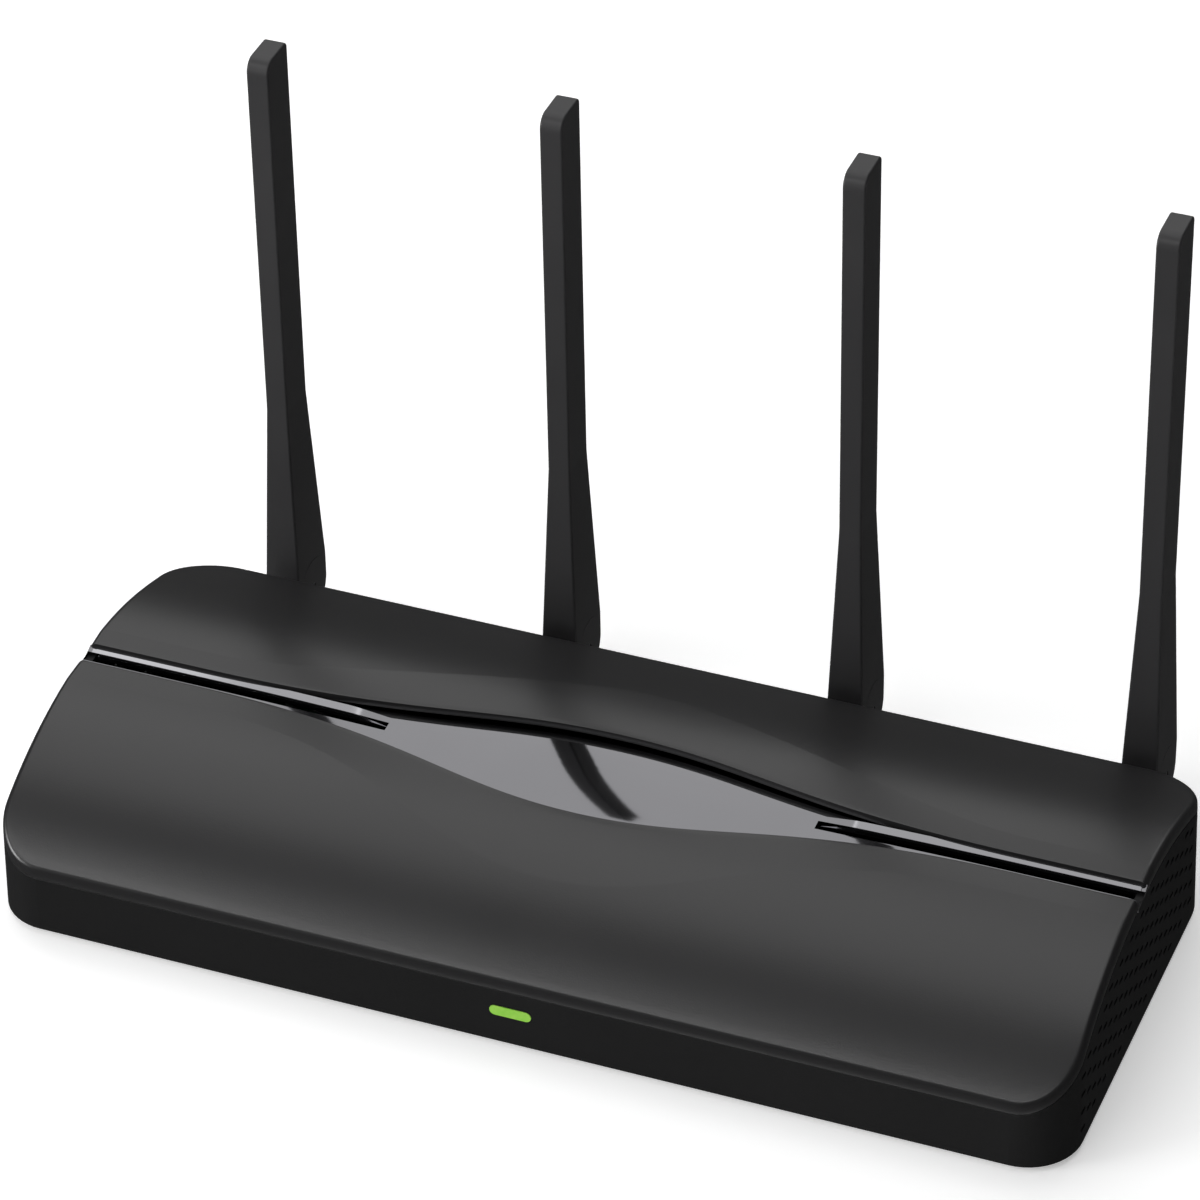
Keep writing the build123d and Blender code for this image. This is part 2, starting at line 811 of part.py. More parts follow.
def shield_can(x):
    # A sheet-metal lid over a radio, open to the board
    block_on_board(x, can_back, can_length, can_depth, can_height)
    with BuildSketch(level(board_top)) as face:
        with Locations((x, deep(can_back))):
            Rectangle(can_length - 2 * can_wall, can_depth - 2 * can_wall)
    extrude(face.sketch, amount=can_height - can_wall, mode=Mode.SUBTRACT)


with BuildPart() as low_band_shield_can:
    shield_can(-can_offset)
low_band_shield_can.part.label = "low_band_shield_can"
export_step(low_band_shield_can.part, "parts/low_band_shield_can.step")

with BuildPart() as high_band_shield_can:
    shield_can(can_offset)
high_band_shield_can.part.label = "high_band_shield_can"
export_step(high_band_shield_can.part, "parts/high_band_shield_can.step")

with BuildPart() as capacitors:
    with BuildSketch(level(board_top)):
        with Locations((capacitor_x, deep(capacitor_back))):
            with GridLocations(capacitor_pitch, capacitor_pitch, 2, 2):
                Circle(capacitor_diameter / 2)
    extrude(amount=capacitor_height)
    fillet(capacitors.edges().group_by(Axis.Z)[-1], radius=capacitor_rounding)
capacitors.part.label = "capacitors"
export_step(capacitors.part, "parts/capacitors.step")

with BuildPart() as power_inductor:
    block_on_board(inductor_x, inductor_back, inductor_size, inductor_size, inductor_height)
    fillet(power_inductor.edges().filter_by(Axis.Z), radius=inductor_rounding)
power_inductor.part.label = "power_inductor"
export_step(power_inductor.part, "parts/power_inductor.step")

with BuildPart() as isolation_transformers:
    for x, width in ((0, lan_transformer_width), (wan_jack_x, wan_transformer_width)):
        block_on_board(x, transformer_back, width, transformer_depth, transformer_height)
isolation_transformers.part.label = "isolation_transformers"
export_step(isolation_transformers.part, "parts/isolation_transformers.step")


def plug_face(x, lift):
    # Outline of a network plug with its latch below, on the jack's face
    with Locations((x, high(board_top + plug_floor + plug_height / 2))):
        Rectangle(plug_width + 2 * lift, plug_height + 2 * lift)
    with Locations((x, high(board_top + plug_floor - latch_height / 2))):
        Rectangle(latch_width + 2 * lift, latch_height + 2 * lift)


def jack_housing(x):
    # Plastic body behind the shield's face, hollow for the plug
    with BuildSketch(upright(case_depth - shield_sheet)) as face:
        with Locations((x, high(board_top + jack_height / 2))):
            Rectangle(jack_width, jack_height)
    extrude(face.sketch, amount=jack_length - shield_sheet)
    with BuildSketch(upright(case_depth - shield_sheet)) as face:
        plug_face(x, 0)
    extrude(face.sketch, amount=plug_depth, mode=Mode.SUBTRACT)


for number, place in enumerate(lan_places, start=1):
    with BuildPart() as lan_jack:
        jack_housing(place)
    lan_jack.part.label = f"lan_jack_{number}"
    export_step(lan_jack.part, f"parts/lan_jack_{number}.step")

with BuildPart() as wan_jack:
    jack_housing(wan_jack_x)
wan_jack.part.label = "wan_jack"
export_step(wan_jack.part, "parts/wan_jack.step")

# Sheet-metal shields around the jacks: sides, top and a face with the plug's outline
with BuildPart() as jack_shields:
    for place in lan_places + [wan_jack_x]:
        with BuildSketch(upright(case_depth)):
            with Locations((place, high(board_top + (jack_height + shield_sheet) / 2))):
                Rectangle(jack_width + 2 * shield_sheet, jack_height + shield_sheet)
        extrude(amount=jack_length)
        with BuildSketch(upright(case_depth - shield_sheet)):
            with Locations((place, high(board_top + jack_height / 2))):
                Rectangle(jack_width, jack_height)
        extrude(amount=jack_length, mode=Mode.SUBTRACT)
        with BuildSketch(upright(case_depth)):
            plug_face(place, shield_mouth_gap)
        extrude(amount=shield_sheet, mode=Mode.SUBTRACT)
jack_shields.part.label = "jack_shields"
export_step(jack_shields.part, "parts/jack_shields.step")

# Spring contacts: eight slanting wires under the roof of each jack
contact_drop = contact_length * sin(radians(contact_slope))
with BuildPart() as jack_contacts:
    for place in lan_places + [wan_jack_x]:
        for n in range(contact_count):
            x = place + (n - (contact_count - 1) / 2) * contact_pitch
            roof = high(board_top + plug_floor + plug_height)
            front = deep(case_depth - shield_sheet - plug_depth)
            with BuildSketch(Plane.YZ.offset(x - contact_width / 2)):
                Polygon(
                    (front, roof - contact_width),
                    (front + contact_length, roof - contact_width - contact_drop),
                    (front + contact_length, roof - contact_drop),
                    (front, roof),
                    align=None,
                )
            extrude(amount=contact_width)
jack_contacts.part.label = "jack_contacts"
export_step(jack_contacts.part, "parts/jack_contacts.step")

# Power socket with its centre pin
with BuildPart() as power_socket:
    with BuildSketch(upright(case_depth)):
        with Locations((socket_x, high(board_top + socket_height / 2))):
            Rectangle(socket_width, socket_height)
    extrude(amount=socket_length)
    with BuildSketch(upright(case_depth)):
        with Locations((socket_x, high(board_top + socket_centre_height))):
            Circle(socket_bore / 2)
    extrude(amount=socket_bore_depth, mode=Mode.SUBTRACT)
power_socket.part.label = "power_socket"
export_step(power_socket.part, "parts/power_socket.step")

with BuildPart() as power_socket_pin:
    with BuildSketch(upright(case_depth - socket_bore_depth)):
        with Locations((socket_x, high(board_top + socket_centre_height))):
            Circle(socket_pin_diameter / 2)
    extrude(amount=-(socket_bore_depth - socket_pin_sunk))
    fillet(power_socket_pin.edges().sort_by(Axis.Y)[-1], radius=socket_pin_rounding)
power_socket_pin.part.label = "power_socket_pin"
export_step(power_socket_pin.part, "parts/power_socket_pin.step")


def button(x, diameter, proud):
    # Cap through the rear wall, flange behind it, stem to the plunger
    with BuildSketch(upright(case_depth + proud)) as face:
        with Locations((x, high(button_centre_height))):
            Circle(diameter / 2)
    flange_back = case_depth - wall - button_gap - high(button_centre_height) * tan(radians(draft))
    extrude(face.sketch, amount=case_depth + proud - flange_back)
    with BuildSketch(upright(flange_back)) as face:
        with Locations((x, high(button_centre_height))):
            Circle(diameter / 2 + button_flange)
    extrude(face.sketch, amount=button_flange)
    stem_end = switch_rear_back + plunger_reach
    with BuildSketch(upright(flange_back)) as face:
        with Locations((x, high(button_centre_height))):
            Circle(plunger_diameter / 2 + button_stem_wall)
    extrude(face.sketch, amount=flange_back - stem_end)


def plunger(x):
    # The moving rod of a push switch
    with BuildSketch(upright(switch_rear_back + plunger_reach)) as face:
        with Locations((x, high(button_centre_height))):
            Circle(plunger_diameter / 2)
    extrude(face.sketch, amount=plunger_reach + plunger_sunk)


def push_switch(x, travel):
    # Housing on the board with a bore that takes the plunger
    with BuildSketch(level(board_top)) as face:
        with Locations((x, deep(switch_rear_back - switch_size / 2))):
            Rectangle(switch_size, switch_size)
    extrude(face.sketch, amount=switch_height)
    with BuildSketch(upright(switch_rear_back)) as face:
        with Locations((x, high(button_centre_height))):
            Circle(plunger_diameter / 2 + button_gap)
    extrude(face.sketch, amount=plunger_sunk + travel + button_gap, mode=Mode.SUBTRACT)


with BuildPart() as power_button:
    button(power_button_x, power_button_diameter, power_button_proud)
    fillet(power_button.edges().sort_by(Axis.Y)[-1], radius=power_button_rounding)
power_button.part.label = "power_button"
export_step(power_button.part, "parts/power_button.step")

with BuildPart() as power_plunger:
    plunger(power_button_x)
power_plunger.part.label = "power_plunger"
export_step(power_plunger.part, "parts/power_plunger.step")

with BuildPart() as power_switch:
    push_switch(power_button_x, power_button_travel)
power_switch.part.label = "power_switch"
export_step(power_switch.part, "parts/power_switch.step")

with BuildPart() as wps_button:
    button(wps_button_x, wps_button_diameter, wps_button_proud)
    fillet(wps_button.edges().sort_by(Axis.Y)[-1], radius=wps_button_rounding)
wps_button.part.label = "wps_button"
export_step(wps_button.part, "parts/wps_button.step")

with BuildPart() as wps_plunger:
    plunger(wps_button_x)
wps_plunger.part.label = "wps_plunger"
export_step(wps_plunger.part, "parts/wps_plunger.step")

with BuildPart() as wps_switch:
    push_switch(wps_button_x, wps_button_travel)
wps_switch.part.label = "wps_switch"
export_step(wps_switch.part, "parts/wps_switch.step")

# Aerials: each has a hub that swivels in the rear wall and a blade that tilts on a pin
collar_back = case_depth + hub_wall_gap
clip_lean = high(pivot_height + clip_diameter / 2) * tan(radians(draft))
clip_rear_back = case_depth - wall - hub_wall_gap - clip_lean
clip_front_back = clip_rear_back - clip_thickness
stem_end_back = clip_front_back - stem_end_length
neck_exit_back = hub_neck_end_back - hub_bore_diameter


def hub(x):
    with BuildSketch(upright(stem_end_back)) as face:
        with Locations((x, pivot_z)):
            Circle(hub_stem_diameter / 2)
    extrude(face.sketch, amount=-(collar_back - stem_end_back))
    with BuildSketch(upright(collar_back)) as face:
        with Locations((x, pivot_z)):
            Circle(hub_collar_diameter / 2)
    extrude(face.sketch, amount=-hub_collar_length)
    with BuildSketch(upright(collar_back)) as face:
        with Locations((x, pivot_z)):
            Circle(hub_neck_diameter / 2)
    extrude(face.sketch, amount=-(hub_neck_end_back - collar_back))
    # tongue with a round end about the pin
    with BuildSketch(Plane.YZ.offset(x - tongue_thickness / 2)) as face:
        with Locations((pivot_y, pivot_z)):
            Circle(tongue_radius)
        reach = pivot_y - deep(hub_neck_end_back - margin)
        with Locations((pivot_y - reach / 2, pivot_z)):
            Rectangle(reach, 2 * tongue_radius)
    extrude(face.sketch, amount=tongue_thickness)
    with BuildSketch(Plane.YZ.offset(x - tongue_thickness / 2)) as face:
        with Locations((pivot_y, pivot_z)):
            Circle(pin_diameter / 2 + pin_clearance)
    extrude(face.sketch, amount=tongue_thickness, mode=Mode.SUBTRACT)
    # groove for the clip
    with BuildSketch(upright(clip_front_back)) as face:
        with Locations((x, pivot_z)):
            Circle(hub_stem_diameter / 2)
            Circle(clip_groove_diameter / 2, mode=Mode.SUBTRACT)
    extrude(face.sketch, amount=-clip_thickness, mode=Mode.SUBTRACT)
    # way for the cable: along the stem, then down out of the neck
    with BuildSketch(upright(stem_end_back)) as face:
        with Locations((x, pivot_z)):
            Circle(hub_bore_diameter / 2)
    extrude(face.sketch, amount=-(neck_exit_back - stem_end_back), mode=Mode.SUBTRACT)
    with BuildSketch(Plane.XY.offset(pivot_z)) as face:
        with Locations((x, deep(neck_exit_back - hub_bore_diameter / 2))):
            Circle(hub_exit_diameter / 2)
    extrude(face.sketch, amount=-hub_neck_diameter, mode=Mode.SUBTRACT)


def clip(x):
    with BuildSketch(upright(clip_front_back)) as face:
        with Locations((x, pivot_z)):
            Circle(clip_diameter / 2)
            Circle(clip_groove_diameter / 2, mode=Mode.SUBTRACT)
        with Locations((x, pivot_z - clip_diameter / 2)):
            Rectangle(clip_mouth, clip_diameter, mode=Mode.SUBTRACT)
    extrude(face.sketch, amount=-clip_thickness)


def blade(x):
    # root block with a round lower end, then the flare, then the straight blade
    with BuildSketch(Plane.YZ.offset(x - root_width / 2)) as face:
        with Locations((pivot_y, pivot_z)):
            Circle(root_depth / 2)
        with Locations((pivot_y, (pivot_z + high(root_end_height)) / 2)):
            Rectangle(root_depth, high(root_end_height) - pivot_z)
    extrude(face.sketch, amount=root_width)
    with BuildSketch(level(root_end_height)) as wide:
        with Locations((x, pivot_y)):
            Rectangle(root_width, root_depth)
    with BuildSketch(level(blade_start_height)) as narrow:
        with Locations((x, pivot_y)):
            Rectangle(blade_width, blade_depth)
    loft([wide.sketch, narrow.sketch])
    extrude(narrow.sketch, amount=aerial_top_height - blade_start_height)


for number, place in enumerate(aerial_places, start=1):
    with BuildPart() as aerial_hub:
        hub(place)
    aerial_hub.part.label = f"aerial_{number}_hub"
    export_step(aerial_hub.part, f"parts/aerial_{number}_hub.step")

    with BuildPart() as aerial_clip:
        clip(place)
    aerial_clip.part.label = f"aerial_{number}_clip"
    export_step(aerial_clip.part, f"parts/aerial_{number}_clip.step")

    with BuildPart() as aerial_blade:
        blade(place)
        tip = aerial_blade.faces().sort_by(Axis.Z)[-1]
        fillet(tip.edges().sort_by(Axis.Y)[0], radius=tip_front_radius)
        tip = aerial_blade.faces().sort_by(Axis.Z)[-1]
        fillet(tip.edges().sort_by(Axis.Y)[-1], radius=tip_rear_radius)
        steep = [edge for edge in aerial_blade.edges() if abs(edge.tangent_at(0.5).Z) > upright_share]
        long_edges = [edge for edge in steep if edge.center().Z > high(root_end_height)]
        fillet(long_edges, radius=blade_corner)
        # fork slot for the tongue, open to the front and below
        slot_top = pivot_z + tongue_radius + fork_clearance
        slot_rear = pivot_y + tongue_radius + fork_clearance
        slot_front = pivot_y - root_depth / 2 - margin
        slot_low = pivot_z - root_depth / 2 - margin
        with BuildSketch(Plane.YZ.offset(place - tongue_thickness / 2 - fork_side_clearance)):
            with Locations(((slot_front + slot_rear) / 2, (slot_low + slot_top) / 2)):
                Rectangle(slot_rear - slot_front, slot_top - slot_low)
        extrude(amount=tongue_thickness + 2 * fork_side_clearance, mode=Mode.SUBTRACT)
        # hollow for the radiator, with a way down for the cable
        hollow_start = slot_top + hollow_root_gap
        with BuildSketch(Plane.XY.offset(hollow_start)):
            with Locations((place, pivot_y)):
                Rectangle(blade_width - 2 * blade_wall, blade_depth - 2 * blade_wall)
        extrude(amount=high(aerial_top_height) - hollow_tip_gap - hollow_start, mode=Mode.SUBTRACT)
        with BuildSketch(Plane.XY.offset(slot_top - margin)):
            with Locations((place, pivot_y)):
                Circle(hub_bore_diameter / 2)
        extrude(amount=hollow_start - slot_top + 2 * margin, mode=Mode.SUBTRACT)
        with BuildSketch(Plane.YZ.offset(place - root_width / 2)):
            with Locations((pivot_y, pivot_z)):
                Circle(pin_diameter / 2)
        extrude(amount=root_width, mode=Mode.SUBTRACT)
    aerial_blade.part.label = f"aerial_{number}_blade"
    export_step(aerial_blade.part, f"parts/aerial_{number}_blade.step")

    with BuildPart() as aerial_radiator:
        with BuildSketch(level(radiator_start_height)):
            with Locations((place, pivot_y)):
                Rectangle(radiator_thickness, radiator_width)
        extrude(amount=radiator_length)
    aerial_radiator.part.label = f"aerial_{number}_radiator"
    export_step(aerial_radiator.part, f"parts/aerial_{number}_radiator.step")

    with BuildPart() as aerial_pin:
        with BuildSketch(Plane.YZ.offset(place - root_width / 2 + pin_sunk)):
            with Locations((pivot_y, pivot_z)):
                Circle(pin_diameter / 2)
        extrude(amount=root_width - 2 * pin_sunk)
    aerial_pin.part.label = f"aerial_{number}_pin"
    export_step(aerial_pin.part, f"parts/aerial_{number}_pin.step")

# Coax cables from the board's connectors into the hubs' stems
connector_places = [
    turn * (connector_x - step * connector_pitch)
    for turn, step in ((-1, 0), (-1, 1), (1, 1), (1, 0))
]
cable_run_height = board_top + connector_height / 2
with BuildPart() as aerial_connectors:
    with BuildSketch(level(board_top)):
        for place in connector_places:
            with Locations((place, deep(connector_back))):
                Rectangle(connector_size, connector_size)
    extrude(amount=connector_height)
aerial_connectors.part.label = "aerial_connectors"
export_step(aerial_connectors.part, "parts/aerial_connectors.step")

with BuildPart() as aerial_cables:
    for place, start in zip(aerial_places, connector_places):
        run_back = connector_back + connector_size / 2
        points = [
            (start, deep(run_back), high(cable_run_height)),
            (start, deep(run_back + cable_straight_start), high(cable_run_height)),
            (place, deep(stem_end_back - cable_straight_end), pivot_z),
            (place, deep(stem_end_back + cable_in_stem), pivot_z),
        ]
        with BuildLine() as route:
            rounded_route(points, cable_bend_radius)
        with BuildSketch(Plane(origin=points[0], z_dir=(0, 1, 0))):
            Circle(cable_diameter / 2)
        sweep(path=route.line)
aerial_cables.part.label = "aerial_cables"
export_step(aerial_cables.part, "parts/aerial_cables.step")
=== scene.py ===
import math

import bmesh
import bpy
import numpy as np
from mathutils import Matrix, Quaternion, Vector


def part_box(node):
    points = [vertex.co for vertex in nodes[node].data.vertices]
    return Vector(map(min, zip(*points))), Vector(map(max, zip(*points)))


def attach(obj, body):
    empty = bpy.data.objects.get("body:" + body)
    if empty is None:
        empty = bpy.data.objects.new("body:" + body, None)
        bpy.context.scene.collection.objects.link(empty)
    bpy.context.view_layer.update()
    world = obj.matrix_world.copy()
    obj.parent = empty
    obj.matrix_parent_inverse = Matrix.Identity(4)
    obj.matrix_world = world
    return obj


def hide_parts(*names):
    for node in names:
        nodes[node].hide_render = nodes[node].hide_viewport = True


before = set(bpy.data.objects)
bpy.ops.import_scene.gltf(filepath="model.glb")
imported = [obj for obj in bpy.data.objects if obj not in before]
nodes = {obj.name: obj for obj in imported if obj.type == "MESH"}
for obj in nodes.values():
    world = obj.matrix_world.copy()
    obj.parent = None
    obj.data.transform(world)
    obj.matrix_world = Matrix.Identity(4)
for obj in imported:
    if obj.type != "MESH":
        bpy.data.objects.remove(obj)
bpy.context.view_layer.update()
mm = 0.001
print("frame loaded:", len(nodes), "nodes")

# The plan and the dome, in millimetres, with depths counted back from the front face
caseLow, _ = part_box("base_case")
case = dict(
    frontY=caseLow.y / mm,
    underZ=1.5,
    halfWidth=130.0,
    depth=112.0,
    frontCorner=13.0,
    rearCorner=16.0,
    draft=math.radians(1.2),
    lip=2.8,
)
dome = dict(
    nose=(0.0, 17.2),
    noseReach=26.3,
    noseSlope=40.0,
    crown=(61.1, 38.5),
    crownFront=20.5,
    crownRear=19.6,
    tail=(112.0, 27.2),
    tailReach=21.1,
    tailSlope=16.1,
)
lines = dict(
    frontSeam=(40.5, 52.3, 33.0, 55.0),
    rearSeam=(69.2, 58.7, 33.0, 55.0),
    frontCrease=(21.9, 45.4, 35.8, 54.6),
    rearCrease=(89.9, 64.0, 23.5, 30.5),
    spread=100.0,
    middleEnd=100.0,
    middleFade=70.0,
)


def curvePoints(ends, reaches, count=200):
    # A Bezier curve through two ends with two pulls, as rows of points
    p = [np.array(q, float) for q in (ends[0], reaches[0], reaches[1], ends[1])]
    t = np.linspace(0, 1, count)[:, None]
    return (1 - t) ** 3 * p[0] + 3 * t * (1 - t) ** 2 * p[1] + 3 * t**2 * (1 - t) * p[2] + t**3 * p[3]


def domeProfile():
    rise, fall = math.radians(dome["noseSlope"]), math.radians(dome["tailSlope"])
    nose, crown, tail = dome["nose"], dome["crown"], dome["tail"]
    front = curvePoints(
        (nose, crown),
        (
            (nose[0] + dome["noseReach"] * math.cos(rise), nose[1] + dome["noseReach"] * math.sin(rise)),
            (crown[0] - dome["crownFront"], crown[1]),
        ),
    )
    rear = curvePoints(
        (crown, tail),
        (
            (crown[0] + dome["crownRear"], crown[1]),
            (tail[0] - dome["tailReach"] * math.cos(fall), tail[1] + dome["tailReach"] * math.sin(fall)),
        ),
    )
    return np.vstack([front, rear[1:]])


profile = domeProfile()


def domeHeight(back):
    nose, tail = dome["nose"], dome["tail"]
    if back < nose[0]:
        return nose[1] + (back - nose[0]) * math.tan(math.radians(dome["noseSlope"]))
    if back > tail[0]:
        return tail[1] - (back - tail[0]) * math.tan(math.radians(dome["tailSlope"]))
    return float(np.interp(back, profile[:, 0], profile[:, 1]))


def acrossLine(name):
    # Depth of a seam or crease at any distance from the middle
    middle, side, middleReach, sideReach = lines[name]
    spread = lines["spread"]
    curve = curvePoints(((0, middle), (spread, side)), ((middleReach, middle), (spread - sideReach, side)))
    return lambda x: float(np.interp(abs(x), curve[:, 0], curve[:, 1]))


def limited(value):
    # Held between 0 and 1
    return min(max(value, 0.0), 1.0)


def middleShare(x):
    # 1 over the middle of the case, fading to 0 towards its sides
    t = limited((lines["middleEnd"] - abs(x)) / lines["middleFade"])
    return t * t * (3 - 2 * t)


def place(x, back, height):
    return Vector((x * mm, (case["frontY"] + back) * mm, (case["underZ"] + height) * mm))


def newPiece(name, mesh, body, slotName, materials, *stoodFor):
    piece = bpy.data.objects.new(name, mesh)
    bpy.context.scene.collection.objects.link(piece)
    mesh.materials.clear()
    for material in materials:
        mesh.materials.append(material)
    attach(piece, body)
    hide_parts(*stoodFor)


def passingObject(mesh):
    passing = bpy.data.objects.new("passing", mesh)
    bpy.context.scene.collection.objects.link(passing)
    return passing


def bakeObject(passing, sharpAngle):
    # The object's mesh with its modifiers applied, smooth except at its sharp edges
    graph = bpy.context.evaluated_depsgraph_get()
    result = bpy.data.meshes.new_from_object(passing.evaluated_get(graph))
    bpy.data.objects.remove(passing)
    for polygon in result.polygons:
        polygon.use_smooth = True
    result.set_sharp_from_angle(angle=math.radians(sharpAngle))
    return result


def bakeModifiers(mesh, modifiers, sharpAngle=30):
    while len(mesh.materials) < 2:
        mesh.materials.append(None)  # keeps the faces' material numbers
    passing = passingObject(mesh)
    for kind, values in modifiers:
        modifier = passing.modifiers.new(kind.lower(), kind)
        for key, value in values.items():
            setattr(modifier, key, value)
    return bakeObject(passing, sharpAngle)


# Shader node groups shared by several finishes
def newGroup(name, inputs, outputs):
    group = bpy.data.node_groups.new(name, "ShaderNodeTree")
    for label, kind, value in inputs:
        socket = group.interface.new_socket(label, in_out="INPUT", socket_type=kind)
        if value is not None:
            socket.default_value = value
    for label, kind in outputs:
        group.interface.new_socket(label, in_out="OUTPUT", socket_type=kind)
    return group, group.nodes.new("NodeGroupInput"), group.nodes.new("NodeGroupOutput")


def addNode(tree, kind, settings=None, **sockets):
    node = tree.nodes.new(kind)
    for key, value in (settings or {}).items():
        setattr(node, key, value)
    for key, value in sockets.items():
        socket = node.inputs[int(key[1:])] if key[0] == "i" and key[1:].isdigit() else node.inputs[key]
        if isinstance(value, bpy.types.NodeSocket):
            tree.links.new(value, socket)
        else:
            socket.default_value = value
    return node


def mathNode(tree, operation, a, b=0.0):
    return addNode(tree, "ShaderNodeMath", {"operation": operation}, i0=a, i1=b).outputs[0]


def buildFineGrain():
    # Spark-eroded mould texture: tiny pits over a softer unevenness
    look = dict(pitDetail=3.0, pitRoughness=0.6, broadShare=0.16, broadDetail=2.0)
    group, given, out = newGroup(
        "fineGrain",
        [
            ("Vector", "NodeSocketVector", None),
            ("Size", "NodeSocketFloat", 0.0004),
            ("Unevenness", "NodeSocketFloat", 0.3),
        ],
        [("Height", "NodeSocketFloat"), ("Tone", "NodeSocketFloat")],
    )
    spot = given.outputs["Vector"]
    scale = mathNode(group, "DIVIDE", 1.0, given.outputs["Size"])
    pits = addNode(
        group, "ShaderNodeTexNoise", Vector=spot, Scale=scale,
        Detail=look["pitDetail"], Roughness=look["pitRoughness"],
    )
    broad = mathNode(group, "MULTIPLY", scale, look["broadShare"])
    waves = addNode(group, "ShaderNodeTexNoise", Vector=spot, Scale=broad, Detail=look["broadDetail"])
    tilted = mathNode(group, "MULTIPLY", waves.outputs["Fac"], given.outputs["Unevenness"])
    height = mathNode(group, "ADD", pits.outputs["Fac"], tilted)
    group.links.new(height, out.inputs["Height"])
    group.links.new(pits.outputs["Fac"], out.inputs["Tone"])
    return group


def buildSoftSmudge():
    # Faint handling marks and moulding flow, from broad to palm-sized
    look = dict(detail=4.0, roughness=0.55, distortion=0.6, centre=0.5)
    group, given, out = newGroup(
        "softSmudge",
        [
            ("Vector", "NodeSocketVector", None),
            ("Size", "NodeSocketFloat", 0.03),
            ("Contrast", "NodeSocketFloat", 1.0),
        ],
        [("Mask", "NodeSocketFloat")],
    )
    scale = mathNode(group, "DIVIDE", 1.0, given.outputs["Size"])
    marks = addNode(
        group, "ShaderNodeTexNoise", Vector=given.outputs["Vector"], Scale=scale,
        Detail=look["detail"], Roughness=look["roughness"], Distortion=look["distortion"],
    )
    centred = mathNode(group, "SUBTRACT", marks.outputs["Fac"], look["centre"])
    spread = mathNode(group, "MULTIPLY", centred, given.outputs["Contrast"])
    clamped = {"operation": "ADD", "use_clamp": True}
    mask = addNode(group, "ShaderNodeMath", clamped, i0=spread, i1=look["centre"])
    group.links.new(mask.outputs[0], out.inputs["Mask"])
    return group


def buildBrushedLines():
    # Rolling or brushing lines, long along one axis
    group, given, out = newGroup(
        "brushedLines",
        [
            ("Vector", "NodeSocketVector", None),
            ("Across", "NodeSocketFloat", 9000.0),
            ("Along", "NodeSocketFloat", 120.0),
        ],
        [("Height", "NodeSocketFloat")],
    )
    stretch = addNode(group, "ShaderNodeCombineXYZ")
    for label, socket in zip(("Along", "Across", "Across"), stretch.inputs):
        group.links.new(given.outputs[label], socket)
    stretched = addNode(
        group, "ShaderNodeVectorMath", {"operation": "MULTIPLY"},
        i0=given.outputs["Vector"], i1=stretch.outputs[0],
    )
    hair = addNode(group, "ShaderNodeTexNoise", Vector=stretched.outputs[0], Scale=1.0, Detail=2.0)
    group.links.new(hair.outputs["Fac"], out.inputs["Height"])
    return group


fineGrain = buildFineGrain()
softSmudge = buildSoftSmudge()
brushedLines = buildBrushedLines()


def startMaterial(name, settings):
    material = bpy.data.materials.new(name)
    material.use_nodes = True
    tree = material.node_tree
    shader = tree.nodes["Principled BSDF"]
    for key, value in settings.items():
        shader.inputs[key].default_value = value
    coordinates = tree.nodes.new("ShaderNodeTexCoord").outputs["Object"]
    return material, tree, shader, coordinates


def placeGroup(tree, group, **sockets):
    return addNode(tree, "ShaderNodeGroup", {"node_tree": group}, **sockets)


def blendColours(tree, mask, low, high):
    ramp = tree.nodes.new("ShaderNodeMix")
    ramp.data_type = "RGBA"
    tree.links.new(mask, ramp.inputs[0])
    ramp.inputs[6].default_value = (*low, 1)
    ramp.inputs[7].default_value = (*high, 1)
    return ramp.outputs[2]


def spreadValue(tree, mask, low, high):
    spread = addNode(tree, "ShaderNodeMapRange", {"clamp": True}, i0=mask, i1=0.0, i2=1.0, i3=low, i4=high)
    return spread.outputs[0]


def addBump(tree, shader, height, depth):
    bump = addNode(tree, "ShaderNodeBump", Height=height, Distance=depth, Strength=1.0)
    tree.links.new(bump.outputs[0], shader.inputs["Normal"])


marking = dict(unevenness=0.3, contrast=1.5, grainShare=0.5)


def mouldedPlastic(name, look):
    material, tree, shader, spot = startMaterial(name, look.get("shader", {}))
    uneven, contrast = marking["unevenness"], marking["contrast"]
    grain = placeGroup(tree, fineGrain, Vector=spot, Size=look["grainSize"], Unevenness=uneven)
    smudge = placeGroup(tree, softSmudge, Vector=spot, Size=look["smudgeSize"], Contrast=contrast)
    low = [c * (1 - look["toneSpread"]) for c in look["colour"]]
    high = [c * (1 + look["toneSpread"]) for c in look["colour"]]
    pitTone = mathNode(tree, "MULTIPLY", grain.outputs["Tone"], marking["grainShare"])
    smudgeTone = mathNode(tree, "MULTIPLY", smudge.outputs["Mask"], 1 - marking["grainShare"])
    tones = mathNode(tree, "ADD", pitTone, smudgeTone)
    tree.links.new(blendColours(tree, tones, low, high), shader.inputs["Base Color"])
    tree.links.new(spreadValue(tree, smudge.outputs["Mask"], *look["roughness"]), shader.inputs["Roughness"])
    addBump(tree, shader, grain.outputs["Height"], look["grainDepth"])
    return material


